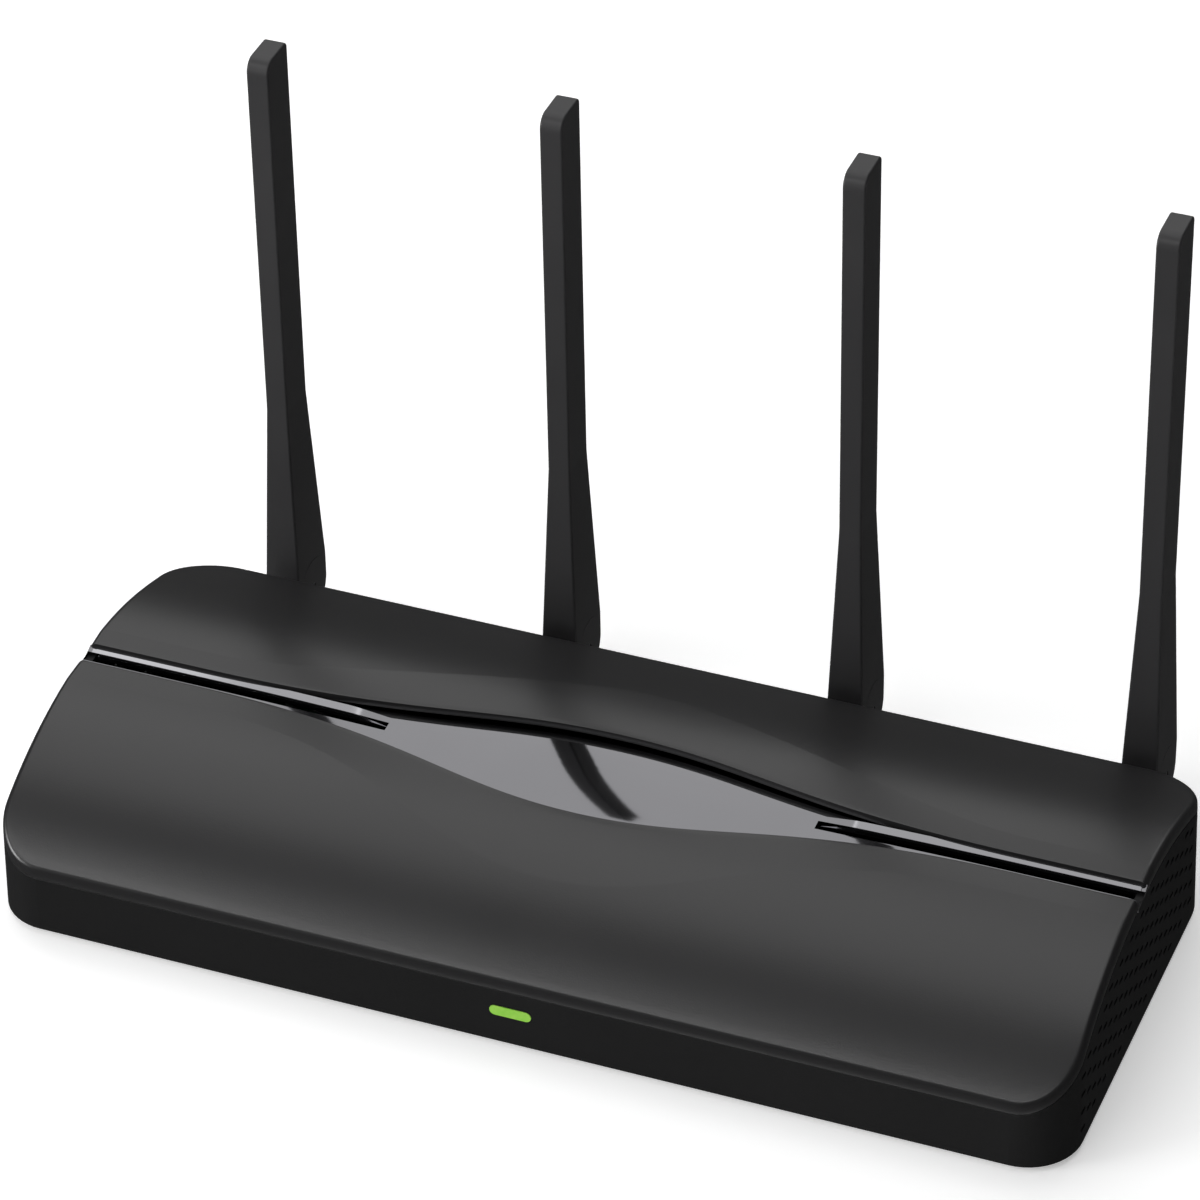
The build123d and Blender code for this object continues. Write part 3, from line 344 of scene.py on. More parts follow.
def rolledMetal(name, look):
    material, tree, shader, spot = startMaterial(name, {"Metallic": 1.0})
    contrast = marking["contrast"]
    hair = placeGroup(tree, brushedLines, Vector=spot, Across=look["across"], Along=look["along"])
    smudge = placeGroup(tree, softSmudge, Vector=spot, Size=look["smudgeSize"], Contrast=contrast)
    low = [c * (1 - look["toneSpread"]) for c in look["colour"]]
    colour = blendColours(tree, smudge.outputs["Mask"], low, look["colour"])
    tree.links.new(colour, shader.inputs["Base Color"])
    tree.links.new(spreadValue(tree, hair.outputs["Height"], *look["roughness"]), shader.inputs["Roughness"])
    addBump(tree, shader, hair.outputs["Height"], look["hairDepth"])
    return material


plastics = dict(
    case_plastic=dict(
        colour=(0.0075, 0.0075, 0.0078), toneSpread=0.15, roughness=(0.46, 0.56),
        grainSize=0.00045, grainDepth=0.00003, smudgeSize=0.05, shader={"Specular IOR Level": 0.2},
    ),
    cover_plastic=dict(
        colour=(0.0138, 0.0136, 0.0142), toneSpread=0.10, roughness=(0.3, 0.35),
        grainSize=0.0004, grainDepth=0.000018, smudgeSize=0.07, shader={"Specular IOR Level": 0.46},
    ),
    # Painted shade: a near-black plastic standing in for the shade on the covers' seam walls and on the trim's
    # slot walls and edges
    seam_painted_shade=dict(
        colour=(0.003, 0.003, 0.0032), toneSpread=0.12, roughness=(0.3, 0.4),
        grainSize=0.0004, grainDepth=0.00001, smudgeSize=0.02, shader={"Specular IOR Level": 0.25},
    ),
    button_plastic=dict(
        colour=(0.012, 0.012, 0.013), toneSpread=0.12, roughness=(0.3, 0.4),
        grainSize=0.0003, grainDepth=0.00001, smudgeSize=0.01, shader={"Specular IOR Level": 0.4},
    ),
    hub_plastic=dict(
        colour=(0.009, 0.009, 0.0095), toneSpread=0.12, roughness=(0.38, 0.48),
        grainSize=0.0004, grainDepth=0.00002, smudgeSize=0.02, shader={"Specular IOR Level": 0.35},
    ),
    aerial_plastic=dict(
        colour=(0.032, 0.0315, 0.0327), toneSpread=0.12, roughness=(0.4, 0.5),
        grainSize=0.0004, grainDepth=0.00002, smudgeSize=0.04, shader={"Specular IOR Level": 0.35},
    ),
    jack_plastic=dict(
        colour=(0.014, 0.014, 0.015), toneSpread=0.15, roughness=(0.45, 0.6),
        grainSize=0.0005, grainDepth=0.00002, smudgeSize=0.01,
    ),
    foot_rubber=dict(
        colour=(0.02, 0.02, 0.02), toneSpread=0.2, roughness=(0.75, 0.9),
        grainSize=0.0006, grainDepth=0.00006, smudgeSize=0.006, shader={"Specular IOR Level": 0.3},
    ),
    chip_resin=dict(
        colour=(0.012, 0.012, 0.012), toneSpread=0.2, roughness=(0.5, 0.65),
        grainSize=0.0003, grainDepth=0.00001, smudgeSize=0.004,
    ),
    pad_silicone=dict(
        colour=(0.28, 0.32, 0.36), toneSpread=0.1, roughness=(0.7, 0.85),
        grainSize=0.0006, grainDepth=0.00003, smudgeSize=0.004,
    ),
    cable_jacket=dict(
        colour=(0.03, 0.03, 0.032), toneSpread=0.15, roughness=(0.45, 0.6),
        grainSize=0.0003, grainDepth=0.00001, smudgeSize=0.01,
    ),
)
metals = dict(
    screw_steel=dict(
        colour=(0.42, 0.42, 0.44), toneSpread=0.3, roughness=(0.25, 0.45),
        across=9000.0, along=2000.0, smudgeSize=0.002, hairDepth=0.000004,
    ),
    sheet_steel=dict(
        colour=(0.62, 0.62, 0.63), toneSpread=0.15, roughness=(0.22, 0.38),
        across=7000.0, along=200.0, smudgeSize=0.006, hairDepth=0.000003,
    ),
    sink_aluminium=dict(
        colour=(0.6, 0.61, 0.62), toneSpread=0.15, roughness=(0.35, 0.5),
        across=5000.0, along=150.0, smudgeSize=0.01, hairDepth=0.000006,
    ),
    can_aluminium=dict(
        colour=(0.7, 0.7, 0.7), toneSpread=0.1, roughness=(0.3, 0.45),
        across=6000.0, along=200.0, smudgeSize=0.01, hairDepth=0.000003,
    ),
    contact_gold=dict(
        colour=(0.85, 0.58, 0.2), toneSpread=0.2, roughness=(0.16, 0.28),
        across=12000.0, along=600.0, smudgeSize=0.002, hairDepth=0.000002,
    ),
    radiator_copper=dict(
        colour=(0.72, 0.36, 0.2), toneSpread=0.25, roughness=(0.3, 0.45),
        across=6000.0, along=300.0, smudgeSize=0.005, hairDepth=0.000003,
    ),
)
finishes = {name: mouldedPlastic(name + "_moulded", look) for name, look in plastics.items()}
finishes.update({name: rolledMetal(name + "_rolled", look) for name, look in metals.items()})


def buildGlossTrim():
    # Smoked mirror lacquer: broad soft orange peel under a clear surface
    look = dict(
        colour=(0.185, 0.184, 0.193), lowTone=0.94, haze=(0.04, 0.08), peelSize=0.004, peelDepth=0.0000015,
        unevenness=0.5, smudgeSize=0.03, contrast=1.2,
    )
    material, tree, shader, spot = startMaterial("gloss_trim_lacquer", {"Metallic": 1.0})
    peel = placeGroup(tree, fineGrain, Vector=spot, Size=look["peelSize"], Unevenness=look["unevenness"])
    smudge = placeGroup(tree, softSmudge, Vector=spot, Size=look["smudgeSize"], Contrast=look["contrast"])
    low = [c * look["lowTone"] for c in look["colour"]]
    colour = blendColours(tree, smudge.outputs["Mask"], low, look["colour"])
    tree.links.new(colour, shader.inputs["Base Color"])
    tree.links.new(spreadValue(tree, smudge.outputs["Mask"], *look["haze"]), shader.inputs["Roughness"])
    addBump(tree, shader, peel.outputs["Height"], look["peelDepth"])
    return material


def buildLightLens():
    # Milky green lens with softly uneven colour
    look = dict(
        deep=(0.13, 0.42, 0.02), core=(0.3, 0.5, 0.08), glow=0.22, roughness=0.35, cell=0.0008, cloud=6,
        contrast=1.4, unevenness=0.2, depth=0.00001,
    )
    values = {"Roughness": look["roughness"], "Emission Strength": look["glow"]}
    material, tree, shader, spot = startMaterial("light_lens_lit", values)
    cloudSize = look["cell"] * look["cloud"]
    cloud = placeGroup(tree, softSmudge, Vector=spot, Size=cloudSize, Contrast=look["contrast"])
    grain = placeGroup(tree, fineGrain, Vector=spot, Size=look["cell"], Unevenness=look["unevenness"])
    colour = blendColours(tree, cloud.outputs["Mask"], look["deep"], look["core"])
    tree.links.new(colour, shader.inputs["Base Color"])
    tree.links.new(colour, shader.inputs["Emission Color"])
    addBump(tree, shader, grain.outputs["Height"], look["depth"])
    return material


def buildBoardLaminate():
    # Solder mask over copper tracks, with the weave of the glass cloth beneath
    look = dict(
        mask=(0.004, 0.05, 0.018), track=(0.01, 0.11, 0.035), trackPitch=0.0032, trackWidth=0.035,
        trackOffset=0.37, trackSquash=1.6, brickTone=0.3, weave=0.0006, unevenness=0.4,
        roughness=(0.28, 0.42), depth=0.00004,
    )
    material, tree, shader, spot = startMaterial("board_laminate_mask", {"Specular IOR Level": 0.5})
    tracks = addNode(
        tree, "ShaderNodeTexBrick", {"offset": look["trackOffset"], "squash": look["trackSquash"]},
        Vector=spot, Scale=1 / look["trackPitch"] / 4,
        Color1=(0, 0, 0, 1), Color2=(*[look["brickTone"]] * 3, 1), Mortar=(1, 1, 1, 1),
    )
    tracks.inputs["Mortar Size"].default_value = look["trackWidth"]
    grain = placeGroup(tree, fineGrain, Vector=spot, Size=look["weave"], Unevenness=look["unevenness"])
    mask = addNode(tree, "ShaderNodeRGBToBW", Color=tracks.outputs["Color"]).outputs[0]
    tree.links.new(blendColours(tree, mask, look["mask"], look["track"]), shader.inputs["Base Color"])
    tree.links.new(spreadValue(tree, grain.outputs["Tone"], *look["roughness"]), shader.inputs["Roughness"])
    addBump(tree, shader, mask, look["depth"])
    return material


def buildLabelFilm():
    # Satin polyester film, blank
    look = dict(
        paper=(0.36, 0.36, 0.37), shade=(0.32, 0.32, 0.33), grain=0.0005, unevenness=0.4, smudge=0.02,
        contrast=1.6, roughness=(0.3, 0.42), depth=0.000006,
    )
    material, tree, shader, spot = startMaterial("label_film_satin", {"Specular IOR Level": 0.5})
    grain = placeGroup(tree, fineGrain, Vector=spot, Size=look["grain"], Unevenness=look["unevenness"])
    smudge = placeGroup(tree, softSmudge, Vector=spot, Size=look["smudge"], Contrast=look["contrast"])
    colour = blendColours(tree, smudge.outputs["Mask"], look["shade"], look["paper"])
    tree.links.new(colour, shader.inputs["Base Color"])
    tree.links.new(spreadValue(tree, smudge.outputs["Mask"], *look["roughness"]), shader.inputs["Roughness"])
    addBump(tree, shader, grain.outputs["Height"], look["depth"])
    return material


finishes["gloss_trim"] = buildGlossTrim()
finishes["light_lens"] = buildLightLens()
finishes["board_laminate"] = buildBoardLaminate()
finishes["label_film"] = buildLabelFilm()

for node in nodes.values():
    for materialSlot in node.material_slots:
        slotName = materialSlot.material.name.split(".")[0]
        materialSlot.material = finishes[slotName]
print("finishes made:", len(finishes))

# Covers: a drafted plan under the dome, with a shallow dished band beside the trim
covers = dict(
    rim=1.6, rimSteps=6, cornerSteps=14, columns=150, outerRows=26, outerCrowding=1.5, bandRows=12,
    bandCrowding=1.4, creaseGap=2.0, slopeStep=0.05, dipMiddle=0.8, dipSide=0.6, skin=1.2, edgeBevel=0.28,
    bevelAngle=50, trimDrop=2.5, lipFade=4,
)


def coverSheet(front):
    # front: +1 for the front cover, -1 for the rear one
    half, draft = case["halfWidth"], case["draft"]
    corner = case["frontCorner"] if front > 0 else case["rearCorner"]
    seam = acrossLine("frontSeam" if front > 0 else "rearSeam")
    crease = acrossLine("frontCrease" if front > 0 else "rearCrease")
    outerBack = 0.0 if front > 0 else case["depth"]
    centreBack = outerBack + front * corner

    def dipDepth(x, back):
        start, end = crease(x), seam(x)
        t = limited((back - start) / (end - start))
        return t * (covers["dipSide"] + (covers["dipMiddle"] - covers["dipSide"]) * middleShare(x))

    def surface(x, back):
        return domeHeight(back) - dipDepth(x, back)

    def slopeNormal(x, back):
        step = covers["slopeStep"]
        rise = (surface(x, back + step) - surface(x, back - step)) / (2 * step)
        return Vector((0, -rise, 1)).normalized()

    # Outline points with their outward directions, from the left side round to the right
    outline = []
    for n in range(covers["cornerSteps"]):
        a = math.pi / 2 * n / covers["cornerSteps"]
        outline.append((-(half - corner), centreBack, Vector((-math.cos(a), -front * math.sin(a), 0)), corner))
    straight = half - corner
    for n in range(covers["columns"] + 1):
        x = -straight + 2 * straight * n / covers["columns"]
        outline.append((x, centreBack, Vector((0, -front, 0)), corner))
    for n in range(1, covers["cornerSteps"] + 1):
        a = math.pi / 2 * n / covers["cornerSteps"]
        outline.append((half - corner, centreBack, Vector((math.sin(a), -front * math.cos(a), 0)), corner))

    mesh = bmesh.new()
    rim = covers["rim"]

    def rimEdge(back):
        return half - domeHeight(back) * math.tan(draft) - rim

    def wallPoint(cx, cy, n, radius):
        # Drafted wall at the height where the dome meets it
        back = cy + n.y * radius
        inset = domeHeight(back) * math.tan(draft)
        return Vector((cx + n.x * (radius - inset), cy + n.y * (radius - inset), 0))

    def ringAt(wall, n, low):
        # Rolled rim from the dome down the wall: returns the inner point and the ring below it
        inner = wall - rim * n
        up = slopeNormal(wall.x, inner.y)
        inner = inner + rim * Vector((up.x, up.y, 0))
        up = slopeNormal(wall.x, inner.y)
        inner.z = surface(inner.x, inner.y)
        centre = inner - rim * up
        wallNormal = (n + Vector((0, 0, math.sin(draft)))).normalized()
        ring = []
        for k in range(1, covers["rimSteps"] + 1):
            t = k / covers["rimSteps"]
            ring.append(centre + rim * up.slerp(wallNormal, t))
        ring.append(Vector((wall.x, wall.y, domeHeight(wall.y) - low)) + n * (low * math.tan(draft)))
        return inner, ring

    def vert(p):
        return mesh.verts.new(place(p.x, p.y, p.z))

    columns, rings = [], []
    for cx, cy, n, radius in outline:
        wall = wallPoint(cx, cy, n, radius)
        inner, ring = ringAt(wall, n, case["lip"])
        rings.append([vert(p) for p in ring])
        x = inner.x
        start, middle, end = inner.y, crease(x), seam(x)
        if (middle - start) * front < covers["creaseGap"]:
            middle = start + (end - start) * 0.5
        rows = []
        total = covers["outerRows"]
        for r in range(total + 1):
            t = r / total
            rows.append(start + (middle - start) * (1 - (1 - t) ** covers["outerCrowding"]))
        total = covers["bandRows"]
        for r in range(1, total + 1):
            t = r / total
            rows.append(middle + (end - middle) * t ** covers["bandCrowding"])
        column = []
        for back in rows:
            squeeze = rimEdge(back) / rimEdge(start)
            px = x * squeeze
            column.append(vert(Vector((px, back, surface(px, back)))))
        columns.append(column)

    # The side edges carry the rim back from the corner to the seam
    sideRings = []
    for column, turn in ((columns[0], -1), (columns[-1], 1)):
        strip = []
        for v in column[1:]:
            back = v.co.y / mm - case["frontY"]
            wall = Vector((turn * (half - domeHeight(back) * math.tan(draft)), back, 0))
            strip.append([vert(p) for p in ringAt(wall, Vector((turn, 0, 0)), case["lip"])[1]])
        sideRings.append(strip)

    # Faces flagged here get the second material, a near-black painted shade standing in for the shade on the seam
    # wall
    def face(*corners, black=False):
        if len(set(corners)) == len(corners):
            made = mesh.faces.new(corners if front > 0 else corners[::-1])
            made.material_index = 1 if black else 0

    for a, b in zip(columns, columns[1:]):
        for p, q, r, s in zip(a, b, b[1:], a[1:]):
            face(p, q, r, s)

    def skirt(edge, ringList):
        for (a, b), (ra, rb) in zip(zip(edge, edge[1:]), zip(ringList, ringList[1:])):
            chainA, chainB = [a, *ra], [b, *rb]
            for p, q, r, s in zip(chainA, chainB, chainB[1:], chainA[1:]):
                face(q, p, s, r)

    skirt([c[0] for c in columns], rings)
    skirt(list(reversed(columns[0])), list(reversed(sideRings[0])) + [rings[0]])
    skirt(columns[-1], [rings[-1]] + sideRings[1])

    # Wall that drops from the seam to the trim, given the near-black painted shade
    top = list(reversed(sideRings[0][-1])) + [c[-1] for c in columns] + sideRings[1][-1]
    low = []
    for v in top:
        x, back = v.co.x / mm, v.co.y / mm - case["frontY"]
        inward = min(1.0, (half - abs(x)) / covers["lipFade"])
        drop = case["lip"] - (case["lip"] - covers["trimDrop"]) * inward
        floorZ = place(0, back, domeHeight(back) - drop).z
        low.append(v if v.co.z <= floorZ + 1e-6 else mesh.verts.new((v.co.x, v.co.y, floorZ)))
    for a, b, c, d in zip(top, top[1:], low[1:], low):
        corners = [a, b, c, d]
        unique = [v for n, v in enumerate(corners) if v not in corners[:n]]
        if len(unique) >= 3:
            face(*reversed(unique), black=True)
    bmesh.ops.recalc_face_normals(mesh, faces=mesh.faces)
    # Open shell: make sure that it faces out
    tallest = max(mesh.faces, key=lambda f: f.calc_center_median().z)
    if tallest.normal.z < 0:
        bmesh.ops.reverse_faces(mesh, faces=mesh.faces)
    data = bpy.data.meshes.new("coverSheet")
    mesh.to_mesh(data)
    mesh.free()
    solid = dict(thickness=covers["skin"] * mm, offset=-1.0, use_even_offset=True, use_quality_normals=True)
    bevel = dict(
        width=covers["edgeBevel"] * mm, segments=2, limit_method="ANGLE",
        angle_limit=math.radians(covers["bevelAngle"]), material=0,
    )
    return bakeModifiers(data, [("SOLIDIFY", solid), ("BEVEL", bevel)])


# Second finish: the near-black painted shade for the seam wall
coverFinishes = [finishes["cover_plastic"], finishes["seam_painted_shade"]]
newPiece("front_cover_shell", coverSheet(1), "root", "cover_plastic", coverFinishes, "top_front_cover")
newPiece("rear_cover_shell", coverSheet(-1), "root", "cover_plastic", coverFinishes, "top_rear_cover")
print("covers made")

# Glossy plate between the covers, following the dome a little lower, with a slot near each side
trim = dict(
    drop=covers["trimDrop"], thickness=1.6, overlap=1.8, slotBack=55.95, slotWidth=2.7, slotInner=52.5,
    slotOuter=129.9, columns=120, frontRows=14, slotRows=2, rearRows=14, edgeBevel=0.08, bevelAngle=50,
    sink=0.8, rampWidth=1.6, rampStart=0.4, rampEnd=1.15, rampFade=(50.0, 62.0), rampBack=0.02,
    tolerance=0.001, facesUp=0.8,
)


def trimSheet():
    seamFront, seamRear = acrossLine("frontSeam"), acrossLine("rearSeam")
    half, draft = case["halfWidth"], case["draft"]
    slotFront = trim["slotBack"] - trim["slotWidth"] / 2
    slotRear = trim["slotBack"] + trim["slotWidth"] / 2
    marks = [-half, -trim["slotOuter"], -trim["slotInner"], trim["slotInner"], trim["slotOuter"], half]
    across = []
    for a, b in zip(marks, marks[1:]):
        count = max(1, round((b - a) / (2 * half) * trim["columns"]))
        slotted = trim["slotInner"] < abs((a + b) / 2) < trim["slotOuter"]
        across += [(a + (b - a) * n / count, slotted) for n in range(count)]
    across.append((half, False))

    def ramp(x, back):
        # Behind each slot a low bar leans towards the front
        t = (back - slotRear) / trim["rampWidth"]
        if not -trim["tolerance"] <= t <= 1 + trim["tolerance"]:
            return 0.0
        near, far = trim["rampFade"]
        grow = limited((abs(x) - near) / (far - near))
        return grow * (trim["rampStart"] + (trim["rampEnd"] - trim["rampStart"]) * t)

    mesh = bmesh.new()
    grid = []
    for x, _ in across:
        start, end = seamFront(x) - trim["overlap"], seamRear(x) + trim["overlap"]
        rows = [start + (slotFront - start) * n / trim["frontRows"] for n in range(trim["frontRows"])]
        rows += [slotFront + trim["slotWidth"] * n / trim["slotRows"] for n in range(trim["slotRows"])]
        foot = slotRear + trim["rampWidth"]
        level = foot + trim["rampBack"]
        rows += [slotRear, foot, level]
        behind = end - foot - trim["rampBack"]
        rows += [level + behind * n / trim["rearRows"] for n in range(1, trim["rearRows"] + 1)]
        line = []
        for back in rows:
            height = domeHeight(back) - trim["drop"] - trim["sink"] * middleShare(x) + ramp(x, back)
            edge = half - height * math.tan(draft)
            line.append(mesh.verts.new(place(max(-edge, min(edge, x)), back, height)))
        grid.append(line)
    first, last = trim["frontRows"], trim["frontRows"] + trim["slotRows"]
    for (a, b), (_, slotted) in zip(zip(grid, grid[1:]), across):
        for n in range(len(a) - 1):
            if slotted and first <= n < last:
                continue
            mesh.faces.new((a[n], b[n], b[n + 1], a[n + 1]))
    data = bpy.data.meshes.new("trimSheet")
    mesh.to_mesh(data)
    mesh.free()
    solid = dict(thickness=trim["thickness"] * mm, offset=-1.0, use_even_offset=True)
    bevel = dict(
        width=trim["edgeBevel"] * mm, segments=2, limit_method="ANGLE",
        angle_limit=math.radians(trim["bevelAngle"]),
    )
    plate = bakeModifiers(data, [("SOLIDIFY", solid), ("BEVEL", bevel)])
    # Faces that do not face up get the near-black painted shade, standing in for the shade in the slots and along
    # the plate's edges
    for polygon in plate.polygons:
        polygon.material_index = 0 if polygon.normal.z > trim["facesUp"] else 1
    return plate


trimFinishes = [finishes["gloss_trim"], finishes["seam_painted_shade"]]
newPiece("gloss_plate", trimSheet(), "root", "gloss_trim", trimFinishes, "centre_trim")
print("trim made")


# Geometry Nodes trees for what repeats: springs, ribs, fins and threads
def newTree(name, *inputs):
    tree = bpy.data.node_groups.new(name, "GeometryNodeTree")
    tree.interface.new_socket("Shape", in_out="OUTPUT", socket_type="NodeSocketGeometry")
    tree.interface.new_socket("Places", in_out="INPUT", socket_type="NodeSocketGeometry")
    for label in inputs:
        kind = "NodeSocketInt" if label == "Count" else "NodeSocketFloat"
        tree.interface.new_socket(label, in_out="INPUT", socket_type=kind)
    tree.interface.new_socket("Finish", in_out="INPUT", socket_type="NodeSocketMaterial")
    return tree, tree.nodes.new("NodeGroupInput").outputs


def joinShapes(tree, *shapes):
    join = tree.nodes.new("GeometryNodeJoinGeometry")
    for shape in shapes:
        tree.links.new(shape, join.inputs[0])
    return join.outputs[0]


def liftShape(tree, shape, z, turn=(0, 0, 0)):
    offset = addNode(tree, "ShaderNodeCombineXYZ", Z=z).outputs[0]
    return addNode(tree, "GeometryNodeTransform", Geometry=shape, Translation=offset, Rotation=turn).outputs[0]


def cylinder(tree, sides, radius, depth):
    made = addNode(tree, "GeometryNodeMeshCylinder", Vertices=sides, Radius=radius, Depth=depth)
    return made.outputs["Mesh"]


def repeated(tree, points, shape, **settings):
    return addNode(tree, "GeometryNodeInstanceOnPoints", Points=points, Instance=shape, **settings).outputs[0]


def finishTree(tree, given, shape, turn=(0, 0, 0)):
    # Sets the shape at every place, makes it real and gives it its finish
    copies = repeated(tree, given["Places"], shape, Rotation=turn)
    real = addNode(tree, "GeometryNodeRealizeInstances", Geometry=copies)
    finished = addNode(tree, "GeometryNodeSetMaterial", Geometry=real.outputs[0], Material=given["Finish"])
    tree.links.new(finished.outputs[0], tree.nodes.new("NodeGroupOutput").inputs[0])


def bakeTree(name, tree, places, sharpAngle=40, **values):
    mesh = bpy.data.meshes.new(name)
    mesh.from_pydata([place(*spot) for spot in places], [], [])
    passing = passingObject(mesh)
    modifier = passing.modifiers.new("shape", "NODES")
    modifier.node_group = tree
    for socket in tree.interface.items_tree:
        if socket.name in values:
            modifier[socket.identifier] = values[socket.name]
    result = bakeObject(passing, sharpAngle)
    result.name = name
    return result


def evenRow(tree, count, pitch):
    # Points along X, centred on the middle
    half = mathNode(tree, "MULTIPLY", mathNode(tree, "SUBTRACT", count, 1.0), -0.5)
    start = addNode(tree, "ShaderNodeCombineXYZ", X=mathNode(tree, "MULTIPLY", half, pitch)).outputs[0]
    step = addNode(tree, "ShaderNodeCombineXYZ", X=pitch).outputs[0]
    row = tree.nodes.new("GeometryNodeMeshLine")
    tree.links.new(count, row.inputs["Count"])
    tree.links.new(start, row.inputs["Start Location"])
    tree.links.new(step, row.inputs["Offset"])
    return row.outputs[0]


def sweptTube(tree, curve, radius, sides):
    ring = addNode(tree, "GeometryNodeCurvePrimitiveCircle", Resolution=sides, Radius=radius).outputs[0]
    tube = tree.nodes.new("GeometryNodeCurveToMesh")
    tree.links.new(curve, tube.inputs["Curve"])
    tree.links.new(ring, tube.inputs["Profile Curve"])
    tube.inputs["Fill Caps"].default_value = True
    return tube.outputs[0]


springShape = dict(steps=8, sides=8, bend=0.55)


def contactComb():
    # Round wires that leave level and bend down
    tree, given = newTree("contactComb", "Count", "Pitch", "Radius", "Reach", "Drop")
    wire = tree.nodes.new("GeometryNodeCurveQuadraticBezier")
    wire.inputs["Resolution"].default_value = springShape["steps"]
    bend = mathNode(tree, "MULTIPLY", given["Reach"], springShape["bend"])
    foot = mathNode(tree, "MULTIPLY", given["Drop"], -1.0)
    wire.inputs["Start"].default_value = (0, 0, 0)
    tree.links.new(addNode(tree, "ShaderNodeCombineXYZ", Y=bend).outputs[0], wire.inputs["Middle"])
    end = addNode(tree, "ShaderNodeCombineXYZ", Y=given["Reach"], Z=foot).outputs[0]
    tree.links.new(end, wire.inputs["End"])
    tube = sweptTube(tree, wire.outputs[0], given["Radius"], springShape["sides"])
    row = evenRow(tree, given["Count"], given["Pitch"])
    finishTree(tree, given, repeated(tree, row, tube))
    return tree


padShape = dict(sides=48, barSides=12, barLength=2.0, barReach=0.96)


def ribbedPad():
    # A round pad whose tread bars end on its own circle
    tree, given = newTree("ribbedPad", "Radius", "Thick", "Count", "Pitch", "Rib")
    pad = cylinder(tree, padShape["sides"], given["Radius"], given["Thick"])
    lift = mathNode(tree, "ADD", mathNode(tree, "MULTIPLY", given["Thick"], 0.5), given["Rib"])
    bar = cylinder(tree, padShape["barSides"], given["Rib"], padShape["barLength"])
    lying = liftShape(tree, bar, given["Rib"], (math.pi / 2, 0, 0))
    row = evenRow(tree, given["Count"], given["Pitch"])
    position = tree.nodes.new("GeometryNodeInputPosition").outputs[0]
    across = addNode(tree, "ShaderNodeSeparateXYZ", i0=position).outputs[0]
    reach = mathNode(tree, "MULTIPLY", given["Radius"], padShape["barReach"])
    acrossSquared = mathNode(tree, "MULTIPLY", across, across)
    inside = mathNode(tree, "SUBTRACT", mathNode(tree, "POWER", reach, 2.0), acrossSquared)
    size = addNode(tree, "ShaderNodeCombineXYZ", X=1.0, Y=mathNode(tree, "SQRT", inside), Z=1.0).outputs[0]
    bars = repeated(tree, row, lying, Scale=size)
    finishTree(tree, given, joinShapes(tree, liftShape(tree, pad, lift), bars))
    return tree


screwShape = dict(
    headSides=40, shankSides=24, core=0.82, turnSteps=16, threadLength=0.94, threadStart=0.03, ridge=0.17,
    ridgeSides=3,
)


def crossScrew(name, turn):
    # Head with a cross recess, and a thread wound round its core
    tree, given = newTree(
        name, "Radius", "Length", "HeadRadius", "HeadHeight", "CrossLength", "CrossWidth", "CrossDepth", "Pitch"
    )
    head = cylinder(tree, screwShape["headSides"], given["HeadRadius"], given["HeadHeight"])
    head = liftShape(tree, head, mathNode(tree, "MULTIPLY", given["HeadHeight"], 0.5))
    deep = mathNode(tree, "MULTIPLY", given["CrossDepth"], 2.0)
    recess = tree.nodes.new("GeometryNodeMeshBoolean")
    recess.operation = "DIFFERENCE"
    tree.links.new(head, recess.inputs[0])
    for x, y in (("CrossLength", "CrossWidth"), ("CrossWidth", "CrossLength")):
        size = addNode(tree, "ShaderNodeCombineXYZ", X=given[x], Y=given[y], Z=deep).outputs[0]
        tree.links.new(addNode(tree, "GeometryNodeMeshCube", Size=size).outputs[0], recess.inputs[1])
    core = mathNode(tree, "MULTIPLY", given["Radius"], screwShape["core"])
    shank = cylinder(tree, screwShape["shankSides"], core, given["Length"])
    middle = mathNode(tree, "ADD", mathNode(tree, "MULTIPLY", given["Length"], 0.5), given["HeadHeight"])
    thread = tree.nodes.new("GeometryNodeCurveSpiral")
    thread.inputs["Resolution"].default_value = screwShape["turnSteps"]
    tree.links.new(mathNode(tree, "DIVIDE", given["Length"], given["Pitch"]), thread.inputs["Rotations"])
    tree.links.new(core, thread.inputs["Start Radius"])
    tree.links.new(core, thread.inputs["End Radius"])
    wound = mathNode(tree, "MULTIPLY", given["Length"], screwShape["threadLength"])
    tree.links.new(wound, thread.inputs["Height"])
    ridgeRadius = mathNode(tree, "MULTIPLY", given["Radius"], screwShape["ridge"])
    ridge = sweptTube(tree, thread.outputs[0], ridgeRadius, screwShape["ridgeSides"])
    lead = mathNode(tree, "MULTIPLY", given["Length"], screwShape["threadStart"])
    start = mathNode(tree, "ADD", lead, given["HeadHeight"])
    shank, ridge = liftShape(tree, shank, middle), liftShape(tree, ridge, start)
    finishTree(tree, given, joinShapes(tree, recess.outputs[0], shank, ridge), turn)
    return tree


finShape = dict(tipSides=16)


